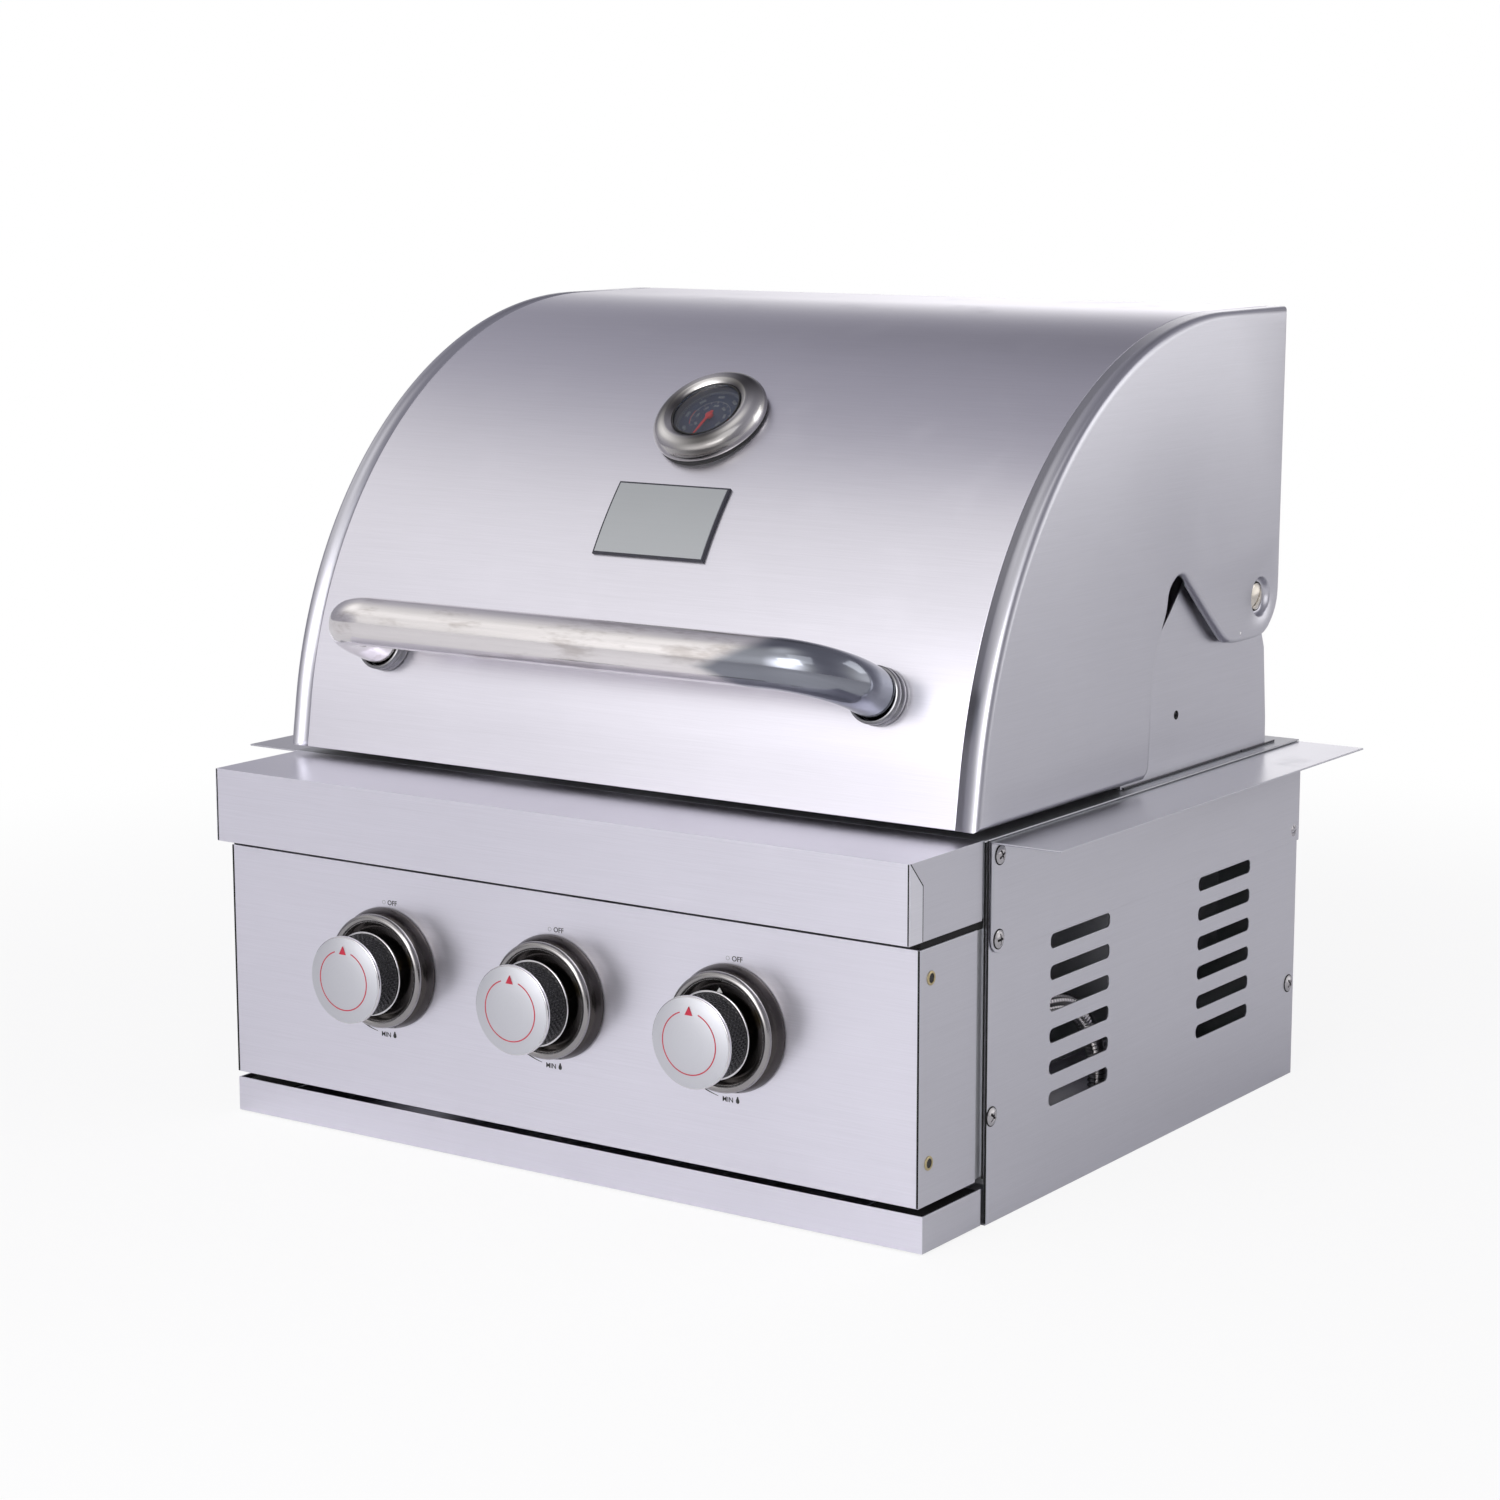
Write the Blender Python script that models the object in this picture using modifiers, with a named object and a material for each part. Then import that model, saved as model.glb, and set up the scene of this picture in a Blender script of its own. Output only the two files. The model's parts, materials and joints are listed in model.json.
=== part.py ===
"""Built-in gas grill, modelled piece by piece.

The origin is the middle of the base's underside. +X is to the right of someone who stands in
front, +Y runs to the back and +Z is up. All sizes are in metres.
"""

import math

import bmesh
import bpy
from mathutils import Matrix, Vector

# Sheet and fits
SHEET = 0.0012
GAP = 0.0003
OVERRUN = 0.003
WELD = 0.00002

# Casing
SIDE_X = 0.2819
CASE_DEPTH = 0.4331
DECK_Z = 0.2449
FRONT_BOX = 0.0883

# Slots in the side panels
SLOT_LENGTH = 0.0785
SLOT_HEIGHT = 0.0102
SLOT_CORNER = 0.0035
SLOT_PITCH = 0.0208
SLOT_ROWS = 6
SLOT_LOW_Z = 0.0630
SLOT_COLUMN_Y = 0.1015
SLOT_SHIFT = 0.0021

# Vents in the base and the rear panel
VENT_LENGTH = 0.090
VENT_WIDTH = 0.008
VENT_CORNER = 0.003
VENT_PITCH = 0.024
VENT_ROWS = 4
VENT_COLUMN_X = 0.120
REAR_VENT_Z = 0.100

# Mounting flanges
WING_REACH = 0.0497
WING_SETBACK = 0.0017
LEG_HEIGHT = 0.0717
LEG_CORNER = 0.010

# Front box: header, control panel and the strip of the drip tray
HEADER_IN = 0.0019
HEADER_HEIGHT = 0.0504
HEADER_RETURN = 0.012
HEADER_BACK_GAP = 0.0039
PANEL_IN = 0.0025
PANEL_SETBACK = 0.0134
PANEL_TOP_GAP = 0.0049
PANEL_HEIGHT = 0.1613
PANEL_RETURN = 0.016
PANEL_BACK_GAP = 0.0083
STRIP_IN = 0.0009
STRIP_SETBACK = 0.0155
STRIP_TOP_GAP = 0.0050
FLOOR_GAP = 0.0010

# Inner front wall behind the control panel
FRAME_FLANGE = 0.027
FRAME_LOW_GAP = 0.0019

# Drip tray
TRAY_IN = 0.0457
TRAY_BACK_GAP = 0.0514
TRAY_WALL = 0.0205

# Firebox
SIDE_SPACE = 0.0367
FIRE_FRONT = 0.0167
FIRE_BACK = 0.0514
WAIST_Z = 0.095
DRAIN_Z = 0.042
DRAIN_IN_X = 0.044
DRAIN_IN_Y = 0.045
LEDGE_REACH = 0.012
LEDGE_SHEET = 0.0015
GRATE_LEDGE_Z = 0.2283
TAMER_LEDGE_Z = 0.1600

# Cooking grates
GRATE_CROSS_R = 0.0038
GRATE_BAR_R = 0.0032
GRATE_BARS = 11
GRATE_BITE = 0.0012
GRATE_PLAY = 0.0015

# Flame tamer
TAMER_HALF_WIDTH = 0.046
TAMER_RISE = 0.022
TAMER_CROWN = 0.008
TAMER_BRIM = 0.022
TAMER_SLOT_WIDTH = 0.010
TAMER_SLOT_LENGTH = 0.045
TAMER_SLOTS = 5
TAMER_SLOT_PITCH = 0.062

# Warming rack
RACK_ROD_R = 0.0025
RACK_CROSS_R = 0.0030
RACK_RODS = 6
RACK_DEPTH = 0.095
RACK_BACK = 0.054
RACK_SHELF_Z = 0.3345
RACK_SHELF_WIDTH = 0.017
RACK_END = 0.006
RACK_CROSS_X = 0.215

# Knobs and their places
KNOB_PITCH = 0.1405
KNOB_Z = 0.1228
BEZEL_R = 0.0406
BEZEL_HEIGHT = 0.0148
BEZEL_BORE_R = 0.0085
GRIP_R = 0.0275
GRIP_RING_R = 0.0284
GRIP_REAR = 0.0198
GRIP_RING = 0.0020
GRIP_FRONT = 0.0412
CAP_R = 0.0295
CAP_RIM = 0.0030
CAP_DOME = 0.0026
KNOB_TRAVEL = 0.004

# Valves
STEM_R = 0.0035
STEM_FLAT = 0.0010
STEM_GRIP = 0.0168
PLUG_R = 0.0060
PLUG_OUT = 0.0015
PLUG_LENGTH = 0.0215
PLUG_SOCKET = 0.0170
STEM_IN_PLUG = 0.0125
VALVE_DEEP = 0.0170
VALVE_COLLAR_R = 0.0092
VALVE_COLLAR = 0.0060
VALVE_R = 0.0105
VALVE_LENGTH = 0.0300
VALVE_STUB_R = 0.0060
JET_R = 0.0040
JET_INSIDE = 0.0030
PANEL_HOLE_R = 0.0080

# Manifold
MANIFOLD_R = 0.0110
MANIFOLD_DROP = 0.0298
MANIFOLD_IN_Y = 0.0370
MANIFOLD_END_X = 0.200
CLAMP_X = 0.070
CLAMP_SHEET = 0.0040
CLAMP_WALL = 0.0050

# Burners
BURNER_R = 0.0190
BURNER_WALL = 0.0012
NECK_R = 0.0110
NECK_OUT = 0.0128
NECK_LENGTH = 0.0420
FLARE_LENGTH = 0.0180
BURNER_END_GAP = 0.0220
BURNER_END = 0.0080
PIN_R = 0.0040
PIN_LENGTH = 0.0100
PORT_WIDTH = 0.0030
PORT_DEPTH = 0.0050
PORTS = 6
HOLDER_GAP = 0.0170
HOLDER_HEIGHT = 0.026
HOLDER_SIDE = 0.025

# Igniters
IGNITER_R = 0.0032
IGNITER_COLLAR_R = 0.0055
IGNITER_OUT = 0.0100
IGNITER_IN = 0.0480
IGNITER_TIP_R = 0.0012
IGNITER_TIP = 0.0140
IGNITER_SIDE = 0.0290

# Gas hose with its elbow and inlet
HOSE_R = 0.0068
HOSE_ROOT_R = 0.0056
HOSE_BORE_R = 0.0042
BARB_R = 0.0034
HOSE_RIBS = 52
HOSE_BORE_POINTS = 22
BARB_LENGTH = 0.008
ELBOW_R = 0.0082
ELBOW_BEND = 0.018
HOSE_START_IN = 0.0110
HOSE_START_Z = 0.1130
INLET_IN_Y = 0.1767
INLET_FLANGE_R = 0.0125
INLET_FLANGE = 0.0045
INLET_HEX_R = 0.0105
INLET_TOP_Z = 0.0330
INLET_NECK = 0.0080
INLET_R = 0.0080
INLET_FLOOR_GAP = 0.0005

# Hood
HOOD_IN = 0.0007
HOOD_REACH = 0.0119
HOOD_LIFT = 0.0056
HOOD_DEPTH = 0.4111
HOOD_LEAN = math.radians(8.64)
HOOD_STRAIGHT = 0.0318
HOOD_R = 0.3198
HOOD_STEPS = 16
HOOD_LIP = 0.010
CAP_BAND = 0.0162
CAP_SHALLOW = 0.0065
CAP_BEND = 0.0045
BEND_STEPS = 2
LUG_DIMPLE_R = 0.0145
LUG_FLOOR_R = 0.0115
LUG_SINK = 0.0045
DIMPLE_STEPS = 16

# The end cap's lower edge from front to back, as shares of the hood's depth and height
BACK_LOW_SHARES = (0.9932, 0.3595)
PIVOT_SHARES = (0.9202, 0.3445)
CAP_EDGE_SHARES = (
    (0.0500, 0.0000),
    (0.5208, 0.0000),
    (0.5361, 0.0214),
    (0.5398, 0.0858),
    (0.5488, 0.2276),
    (0.5682, 0.3018),
    (0.5894, 0.3562),
    (0.5986, 0.4007),
    (0.6169, 0.4238),
    (0.6344, 0.4314),
    (0.6522, 0.4261),
    (0.6728, 0.4040),
    (0.7354, 0.3308),
    (0.7954, 0.2645),
    (0.8215, 0.2523),
    (0.8553, 0.2490),
    (0.9185, 0.2500),
    (0.9489, 0.2589),
    (0.9735, 0.2869),
    (0.9881, 0.3199),
    (0.9932, 0.3595),
    (0.9941, 0.4453),
    (0.9947, 0.4900),
)

# Fixed frame at the back of the hood: a stepped wall with a gable at each end
GABLE_IN = 0.0102
GABLE_LUG_R = 0.0285
GABLE_FOOT = 0.014
BACK_WALL_SHARE = 0.9855
BACK_TOP_SHARE = 0.4156
INNER_WALL_SHARE = 0.8963
STEP_LOW_SHARE = 0.1583
STEP_HIGH_SHARE = 0.2177
GABLE_SHARES = (
    (0.4830, 0.1500),
    (0.6412, 0.3463),
    (0.6656, 0.3793),
    (0.7100, 0.4385),
)
GABLE_REAR_SHARES = (
    (1.0000, 0.0450),
    (0.9880, 0.2150),
)
GABLE_HOLE_SHARES = (0.6704, 0.1134)
GABLE_HOLE_R = 0.0025
BOSS_R = 0.0080

# Pivot screws
SCREW_R = 0.0040
SCREW_HEAD_R = 0.0092
SCREW_HEAD = 0.0028
SCREW_SLOT = 0.0016
SCREW_SLOT_DEPTH = 0.0012
SCREW_NUT_R = 0.0072
SCREW_NUT = 0.0042

# Handle
HANDLE_X = 0.201
HANDLE_R = 0.016
HANDLE_BEND = 0.030
HANDLE_STAND = 0.065
HANDLE_FOOT_HEIGHT = 0.077
HANDLE_TILT = math.radians(23)
HANDLE_STEPS = 6
COLLAR_R = 0.0188
COLLAR_HEIGHT = 0.0095
COLLAR_GROOVE = 0.0010

# Thermometer, heights above the hood's skin
THERMO_HEIGHT = 0.266
GASKET_R = 0.0415
GASKET_TOP = 0.0012
GASKET_DROP = 0.006
GASKET_BORE_R = 0.0080
DISC_LOW = 0.0015
DISC_R = 0.0427
DISC_TOP = 0.0142
DISC_CAVITY_R = 0.0300
DISC_BACK = 0.0012
WINDOW_R = 0.0245
WINDOW_LOW = 0.0096
WINDOW_HIGH = 0.0122
DIAL_SHEET = 0.0008
LENS_SHEET = 0.0018
NEEDLE_PIN_R = 0.0010
NEEDLE_HUB_R = 0.0028
NEEDLE_LENGTH = 0.0200
NEEDLE_LIFT = 0.0010
NEEDLE_SHEET = 0.0008
NEEDLE_TURN = math.radians(142)
PROBE_R = 0.0042
PROBE_TIP_R = 0.0030
PROBE_NUT_R = 0.0090
PROBE_NUT = 0.0050
PROBE_LENGTH = 0.070
PROBE_SEAT = 0.0006

# Places worked out from the sizes
side_in = SIDE_X - SHEET
inner_x = side_in - GAP
case_front = -CASE_DEPTH / 2
case_back = CASE_DEPTH / 2
box_front = case_front - FRONT_BOX
deck_low = DECK_Z + GAP
deck_top = deck_low + SHEET
header_x = SIDE_X - HEADER_IN
header_low = deck_top - HEADER_HEIGHT
header_back = case_front - HEADER_BACK_GAP
panel_x = SIDE_X - PANEL_IN
panel_front = box_front + PANEL_SETBACK
panel_top = header_low - PANEL_TOP_GAP
panel_low = panel_top - PANEL_HEIGHT
strip_x = SIDE_X - STRIP_IN
strip_front = box_front + STRIP_SETBACK
strip_top = panel_low - STRIP_TOP_GAP
frame_x = panel_x - SHEET - GAP
frame_low = strip_top + FRAME_LOW_GAP
frame_flange_low = panel_low + SHEET + GAP
fire_x = side_in - SIDE_SPACE
fire_front = case_front + FIRE_FRONT
fire_back = case_back - FIRE_BACK
hose_x = (side_in + fire_x + SHEET) / 2
hood_x = SIDE_X - HOOD_IN
hood_front = case_front - HOOD_REACH
hood_low = deck_top + HOOD_LIFT
skin_x = hood_x - CAP_BAND - GAP
gable_out = hood_x - GABLE_IN
gable_in = gable_out - SHEET
knob_places = (("1", -KNOB_PITCH), ("2", 0.0), ("3", KNOB_PITCH))
neck_front = case_front - NECK_OUT
manifold_y = panel_front + MANIFOLD_IN_Y
manifold_z = KNOB_Z - MANIFOLD_DROP

# Empty the scene
for old in list(bpy.data.objects):
    bpy.data.objects.remove(old, do_unlink=True)

grill = bpy.data.collections.new("built_in_gas_grill")
cutters = bpy.data.collections.new("cutters")
bpy.context.scene.collection.children.link(grill)
bpy.context.scene.collection.children.link(cutters)


def material(name, colour, roughness, metallic):
    """A Principled material of one colour."""
    made = bpy.data.materials.new(name)
    made.use_nodes = True
    shader = made.node_tree.nodes["Principled BSDF"]
    shader.inputs["Base Color"].default_value = (*colour, 1.0)
    shader.inputs["Roughness"].default_value = roughness
    shader.inputs["Metallic"].default_value = metallic
    made.diffuse_color = (*colour, 1.0)
    return made


BRUSHED = material("brushed_steel", (0.62, 0.62, 0.64), 0.32, 1.0)
POLISHED = material("polished_steel", (0.72, 0.71, 0.71), 0.12, 1.0)
GALVANISED = material("galvanised_steel", (0.46, 0.47, 0.48), 0.45, 1.0)
CHROME = material("chrome", (0.78, 0.78, 0.79), 0.06, 1.0)
BLACK = material("black_grip", (0.02, 0.02, 0.022), 0.5, 0.0)
SATIN = material("satin_cap", (0.74, 0.74, 0.76), 0.38, 0.9)
RUBBER = material("black_gasket", (0.03, 0.03, 0.03), 0.7, 0.0)
DIAL = material("dial", (0.05, 0.06, 0.07), 0.4, 0.0)
GLASS = material("lens_glass", (0.9, 0.92, 0.93), 0.04, 0.0)
RED = material("pointer_red", (0.65, 0.04, 0.03), 0.45, 0.0)
BRASS = material("brass", (0.70, 0.52, 0.24), 0.3, 1.0)
CERAMIC = material("ceramic", (0.82, 0.80, 0.76), 0.4, 0.0)


def place(obj, name, look, where=None, cutter=False):
    """Name an object, put it in its collection and give it its material and its place."""
    obj.name = name
    if cutter:
        cutters.objects.link(obj)
        obj.hide_render = True
        obj.display_type = "WIRE"
    else:
        grill.objects.link(obj)
    if look is not None:
        obj.data.materials.append(look)
    if where is not None:
        obj.matrix_world = where
    return obj


def from_bmesh(bm, name, look, where=None, cutter=False):
    """An object of a finished bmesh."""
    mesh = bpy.data.meshes.new(name)
    bm.to_mesh(mesh)
    bm.free()
    mesh.shade_smooth()
    mesh.set_sharp_from_angle(angle=math.radians(30))
    return place(bpy.data.objects.new(name, mesh), name, look, where, cutter)


def along_x(x=0.0, y=0.0, z=0.0):
    """A frame whose own Z runs along +X: its X is the world's Y and its Y is the world's Z."""
    return Matrix(((0, 0, 1, x), (1, 0, 0, y), (0, 1, 0, z), (0, 0, 0, 1)))


def to_front(x=0.0, y=0.0, z=0.0):
    """A frame whose own Z points to the front: its X is the world's X and its Y the world's Z."""
    return Matrix(((1, 0, 0, x), (0, 0, -1, y), (0, 1, 0, z), (0, 0, 0, 1)))


def upright(x=0.0, y=0.0, z=0.0):
    """A frame that is only moved."""
    return Matrix.Translation((x, y, z))


def box(name, low, high, look=None, cutter=False, opened=()):
    """A block from low to high. The faces that look along the directions in opened are left out."""
    bm = bmesh.new()
    bmesh.ops.create_cube(bm, size=1.0)
    low = Vector(low)
    high = Vector(high)
    bmesh.ops.scale(bm, vec=high - low, verts=bm.verts)
    bmesh.ops.translate(bm, vec=(low + high) / 2, verts=bm.verts)
    bm.normal_update()
    gone = [f for f in bm.faces if any(f.normal.dot(Vector(way)) > 0.5 for way in opened)]
    bmesh.ops.delete(bm, geom=gone, context="FACES")
    return from_bmesh(bm, name, look, cutter=cutter)


def as_mesh(obj, name, look, cutter=False):
    """Turn a curve into a welded mesh object with the same place."""
    bpy.context.view_layer.update()
    ready = obj.evaluated_get(bpy.context.evaluated_depsgraph_get())
    mesh = bpy.data.meshes.new_from_object(ready)
    where = obj.matrix_world.copy()
    bpy.data.objects.remove(obj, do_unlink=True)
    bm = bmesh.new()
    bm.from_mesh(mesh)
    bpy.data.meshes.remove(mesh)
    bmesh.ops.remove_doubles(bm, verts=bm.verts, dist=WELD)
    bmesh.ops.recalc_face_normals(bm, faces=bm.faces)
    return from_bmesh(bm, name, look, where, cutter)


def plate(name, outline, thickness, where, look=None, holes=(), cutter=False):
    """A flat outline with holes, thickened evenly about the plane of its frame."""
    curve = bpy.data.curves.new(name, "CURVE")
    curve.dimensions = "2D"
    curve.fill_mode = "BOTH"
    curve.extrude = thickness / 2
    for loop in (outline, *holes):
        spline = curve.splines.new("POLY")
        spline.points.add(len(loop) - 1)
        for point, (x, y) in zip(spline.points, loop):
            point.co = (x, y, 0.0, 1.0)
        spline.use_cyclic_u = True
    drawn = bpy.data.objects.new(name, curve)
    bpy.context.scene.collection.objects.link(drawn)
    drawn.matrix_world = where
    return as_mesh(drawn, name, look, cutter)


def rod(name, points, radius, sides, look=None, cutter=False, radii=None):
    """A round bar, tube or wire through the points."""
    curve = bpy.data.curves.new(name, "CURVE")
    curve.dimensions = "3D"
    curve.bevel_depth = radius
    curve.bevel_resolution = (sides - 4) // 2
    curve.use_fill_caps = True
    curve.twist_mode = "MINIMUM"
    spline = curve.splines.new("POLY")
    spline.points.add(len(points) - 1)
    for index, place_of in enumerate(points):
        spline.points[index].co = (*place_of, 1.0)
        if radii is not None:
            spline.points[index].radius = radii[index] / radius
    drawn = bpy.data.objects.new(name, curve)
    bpy.context.scene.collection.objects.link(drawn)
    return as_mesh(drawn, name, look, cutter)


def turned(name, profile, steps, where, look=None, closed=False, cutter=False):
    """A turned piece: its profile of (radius, height) runs down the outer side, then it is spun."""
    bm = bmesh.new()
    verts = [bm.verts.new((r, 0.0, h)) for r, h in profile]
    for first, second in zip(verts, verts[1:]):
        bm.edges.new((first, second))
    if closed:
        bm.edges.new((verts[-1], verts[0]))
    mesh = bpy.data.meshes.new(name)
    bm.to_mesh(mesh)
    bm.free()
    obj = place(bpy.data.objects.new(name, mesh), name, look, where, cutter)
    spin = obj.modifiers.new("spin", "SCREW")
    spin.axis = "Z"
    spin.steps = steps
    spin.render_steps = steps
    spin.use_merge_vertices = True
    spin.merge_threshold = WELD
    spin.use_smooth_shade = True
    return obj


def pin(name, radius, low, high, steps, where, look=None, cutter=True):
    """A plain cylinder along its frame's Z, used for bores and pins."""
    bm = bmesh.new()
    bmesh.ops.create_cone(
        bm, cap_ends=True, segments=steps, radius1=radius, radius2=radius, depth=high - low)
    bmesh.ops.translate(bm, vec=(0, 0, (low + high) / 2), verts=bm.verts)
    return from_bmesh(bm, name, look, where, cutter)


def cut(obj, tool):
    """Take the tool's shape out of the object."""
    step = obj.modifiers.new("cut", "BOOLEAN")
    step.operation = "DIFFERENCE"
    step.solver = "EXACT"
    step.object = tool
    return obj


def join(obj, tool):
    """Weld the tool's shape to the object."""
    step = obj.modifiers.new("join", "BOOLEAN")
    step.operation = "UNION"
    step.solver = "EXACT"
    step.object = tool
    return obj


def thicken(obj, thickness, offset=-1.0):
    """Give an open surface its sheet thickness."""
    shell = obj.modifiers.new("shell", "SOLIDIFY")
    shell.thickness = thickness
    shell.offset = offset
    shell.solidify_mode = "NON_MANIFOLD"
    shell.nonmanifold_thickness_mode = "CONSTRAINTS"
    shell.nonmanifold_merge_threshold = WELD
    return obj


def slot_loop(x, y, length, height, corner):
    """The outline of a slot with rounded corners."""
    loop = []
    for sx, sy, turn in ((1, 1, 0), (-1, 1, 90), (-1, -1, 180), (1, -1, 270)):
        cx = x + sx * (length / 2 - corner)
        cy = y + sy * (height / 2 - corner)
        for step in (0, 1):
            angle = math.radians(turn + 25 + 40 * step)
            loop.append((cx + corner * math.cos(angle), cy + corner * math.sin(angle)))
    return loop


def circle_loop(x, y, radius, steps):
    """The outline of a round hole."""
    return [(x + radius * math.cos(2 * math.pi * k / steps),
             y + radius * math.sin(2 * math.pi * k / steps)) for k in range(steps)]


def rectangle(x0, y0, x1, y1):
    """The outline of a rectangle."""
    return [(x0, y0), (x1, y0), (x1, y1), (x0, y1)]


def axis_empty(name, where):
    """An empty on a joint's axis."""
    empty = bpy.data.objects.new(name, None)
    empty.location = where
    grill.objects.link(empty)
    return empty


# Base and outer casing
vent_rows = [VENT_PITCH * (k - (VENT_ROWS - 1) / 2) for k in range(VENT_ROWS)]
base_vents = [slot_loop(sx * VENT_COLUMN_X, y, VENT_LENGTH, VENT_WIDTH, VENT_CORNER)
              for sx in (-1, 1) for y in vent_rows]
inlet_y = case_front + INLET_IN_Y
plate("base_pan", rectangle(-inner_x, case_front, inner_x, case_back), SHEET,
      upright(z=SHEET / 2), GALVANISED,
      base_vents + [circle_loop(hose_x, inlet_y, INLET_R + GAP, 12)])

side_slots = [slot_loop(SLOT_SHIFT + sy * SLOT_COLUMN_Y, SLOT_LOW_Z + k * SLOT_PITCH,
                        SLOT_LENGTH, SLOT_HEIGHT, SLOT_CORNER)
              for sy in (-1, 1) for k in range(SLOT_ROWS)]
for side, sign in (("left", -1), ("right", 1)):
    plate("side_panel_" + side, rectangle(case_front, 0.0, case_back, DECK_Z), SHEET,
          along_x(sign * (SIDE_X - SHEET / 2)), BRUSHED, side_slots)

rear_vents = [slot_loop(sx * VENT_COLUMN_X, REAR_VENT_Z + z, VENT_LENGTH, VENT_WIDTH, VENT_CORNER)
              for sx in (-1, 1) for z in vent_rows]
plate("rear_panel", rectangle(-inner_x, SHEET + GAP, inner_x, DECK_Z), SHEET,
      to_front(y=case_back - SHEET / 2), GALVANISED, rear_vents)

# Mounting flanges: a wing that rests on the counter and a leg against the side panel
wing_front = case_front + WING_SETBACK
leg_low = DECK_Z - LEG_HEIGHT
for side, sign in (("left", -1), ("right", 1)):
    corner = [(wing_front + LEG_CORNER * (1 - math.cos(math.radians(a))),
               leg_low + LEG_CORNER * (1 - math.sin(math.radians(a)))) for a in (0, 30, 60, 90)]
    leg = plate("mounting_flange_" + side,
                corner + [(case_back, leg_low), (case_back, DECK_Z), (wing_front, DECK_Z)],
                SHEET, along_x(sign * (SIDE_X + GAP + SHEET / 2)), BRUSHED)
    wing = box("wing_" + side,
               (min(sign * (SIDE_X + GAP), sign * (SIDE_X + WING_REACH)), wing_front, DECK_Z - SHEET),
               (max(sign * (SIDE_X + GAP), sign * (SIDE_X + WING_REACH)), case_back, DECK_Z),
               cutter=True)
    join(leg, wing)

# Header: a folded box, open to the back and mostly open below
header = box("header_trim", (-header_x, box_front, header_low), (header_x, header_back, deck_top),
             BRUSHED, opened=((0, 1, 0),))
thicken(header, SHEET)
cut(header, box("header_opening",
                (-header_x + SHEET, box_front + HEADER_RETURN, header_low - OVERRUN),
                (header_x - SHEET, header_back + OVERRUN, header_low + SHEET + GAP), cutter=True))

# Control panel: a front with long returns at its sides and short ones above and below
panel_back = case_front - PANEL_BACK_GAP
panel = box("control_panel", (-panel_x, panel_front, panel_low), (panel_x, panel_back, panel_top),
            BRUSHED, opened=((0, 1, 0),))
thicken(panel, SHEET)
for end, low, high in (("low", panel_low - OVERRUN, panel_low + SHEET + GAP),
                       ("high", panel_top - SHEET - GAP, panel_top + OVERRUN)):
    cut(panel, box("panel_opening_" + end, (-panel_x + SHEET, panel_front + PANEL_RETURN, low),
                   (panel_x - SHEET, panel_back + OVERRUN, high), cutter=True))
for number, x in knob_places:
    cut(panel, pin("panel_hole_" + number, PANEL_HOLE_R, -SHEET - OVERRUN, OVERRUN, 12,
                   to_front(x, panel_front, KNOB_Z)))

# Inner front wall: a tray that faces forward, with a full-width wall and clamps for the manifold
frame_back = case_front + SHEET
front_frame = box("front_frame", (-frame_x, case_front - FRAME_FLANGE, frame_flange_low),
                  (frame_x, frame_back, DECK_Z), GALVANISED, opened=((0, -1, 0),))
thicken(front_frame, SHEET)
join(front_frame, box("frame_wall", (-inner_x, case_front, frame_low),
                      (inner_x, frame_back, DECK_Z), cutter=True))
clamp_front = manifold_y - MANIFOLD_R - CLAMP_WALL
for side, sign in (("left", -1), ("right", 1)):
    clamp = box("clamp_" + side,
                (sign * CLAMP_X - CLAMP_SHEET / 2, clamp_front,
                 manifold_z - MANIFOLD_R - CLAMP_WALL),
                (sign * CLAMP_X + CLAMP_SHEET / 2, case_front + SHEET / 2,
                 manifold_z + MANIFOLD_R / 2), cutter=True)
    cut(clamp, pin("clamp_bore_" + side, MANIFOLD_R + GAP, -CLAMP_SHEET, CLAMP_SHEET, 16,
                   along_x(sign * CLAMP_X, manifold_y, manifold_z)))
    join(front_frame, clamp)
for number, x in knob_places:
    cut(front_frame, pin("neck_hole_" + number, NECK_R + GAP, -OVERRUN, OVERRUN, 12,
                         to_front(x, case_front, KNOB_Z)))
cut(front_frame, pin("hose_hole", ELBOW_R + GAP, -OVERRUN, OVERRUN, 12,
                     to_front(hose_x, case_front, HOSE_START_Z)))

# Drip tray: an open pan with a strip that wraps round the front
tray_x = side_in - TRAY_IN
tray_low = SHEET + GAP
tray = box("drip_tray", (-tray_x, strip_front + SHEET / 2, tray_low),
           (tray_x, case_back - TRAY_BACK_GAP, tray_low + TRAY_WALL), BRUSHED, opened=((0, 0, 1),))
thicken(tray, SHEET)
strip = box("tray_strip", (-strip_x, strip_front, FLOOR_GAP), (strip_x, header_back, strip_top),
            cutter=True, opened=((0, 0, 1), (0, 0, -1), (0, 1, 0)))
thicken(strip, SHEET)
join(tray, strip)

# Firebox: a deck with a well that narrows to a drain over the tray
deck_x = SIDE_X - GAP
deck_front = header_back + GAP
well_rings = (
    (deck_x, deck_front, case_back, deck_top),
    (fire_x, fire_front, fire_back, deck_top),
    (fire_x, fire_front, fire_back, WAIST_Z),
    (fire_x - DRAIN_IN_X, fire_front + DRAIN_IN_Y, fire_back - DRAIN_IN_Y, DRAIN_Z),
)
bm = bmesh.new()
ring_edges = []
for half, front, back, z in well_rings:
    ring = [bm.verts.new(p) for p in ((-half, front, z), (half, front, z),
                                      (half, back, z), (-half, back, z))]
    ring_edges.append([bm.edges.new((ring[k], ring[(k + 1) % len(ring)])) for k in range(len(ring))])
for upper, lower in zip(ring_edges, ring_edges[1:]):
    bmesh.ops.bridge_loops(bm, edges=upper + lower)
bmesh.ops.recalc_face_normals(bm, faces=bm.faces)
bm.faces.ensure_lookup_table()
if any(f.normal.z < -0.9 for f in bm.faces):
    bmesh.ops.reverse_faces(bm, faces=bm.faces)
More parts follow.
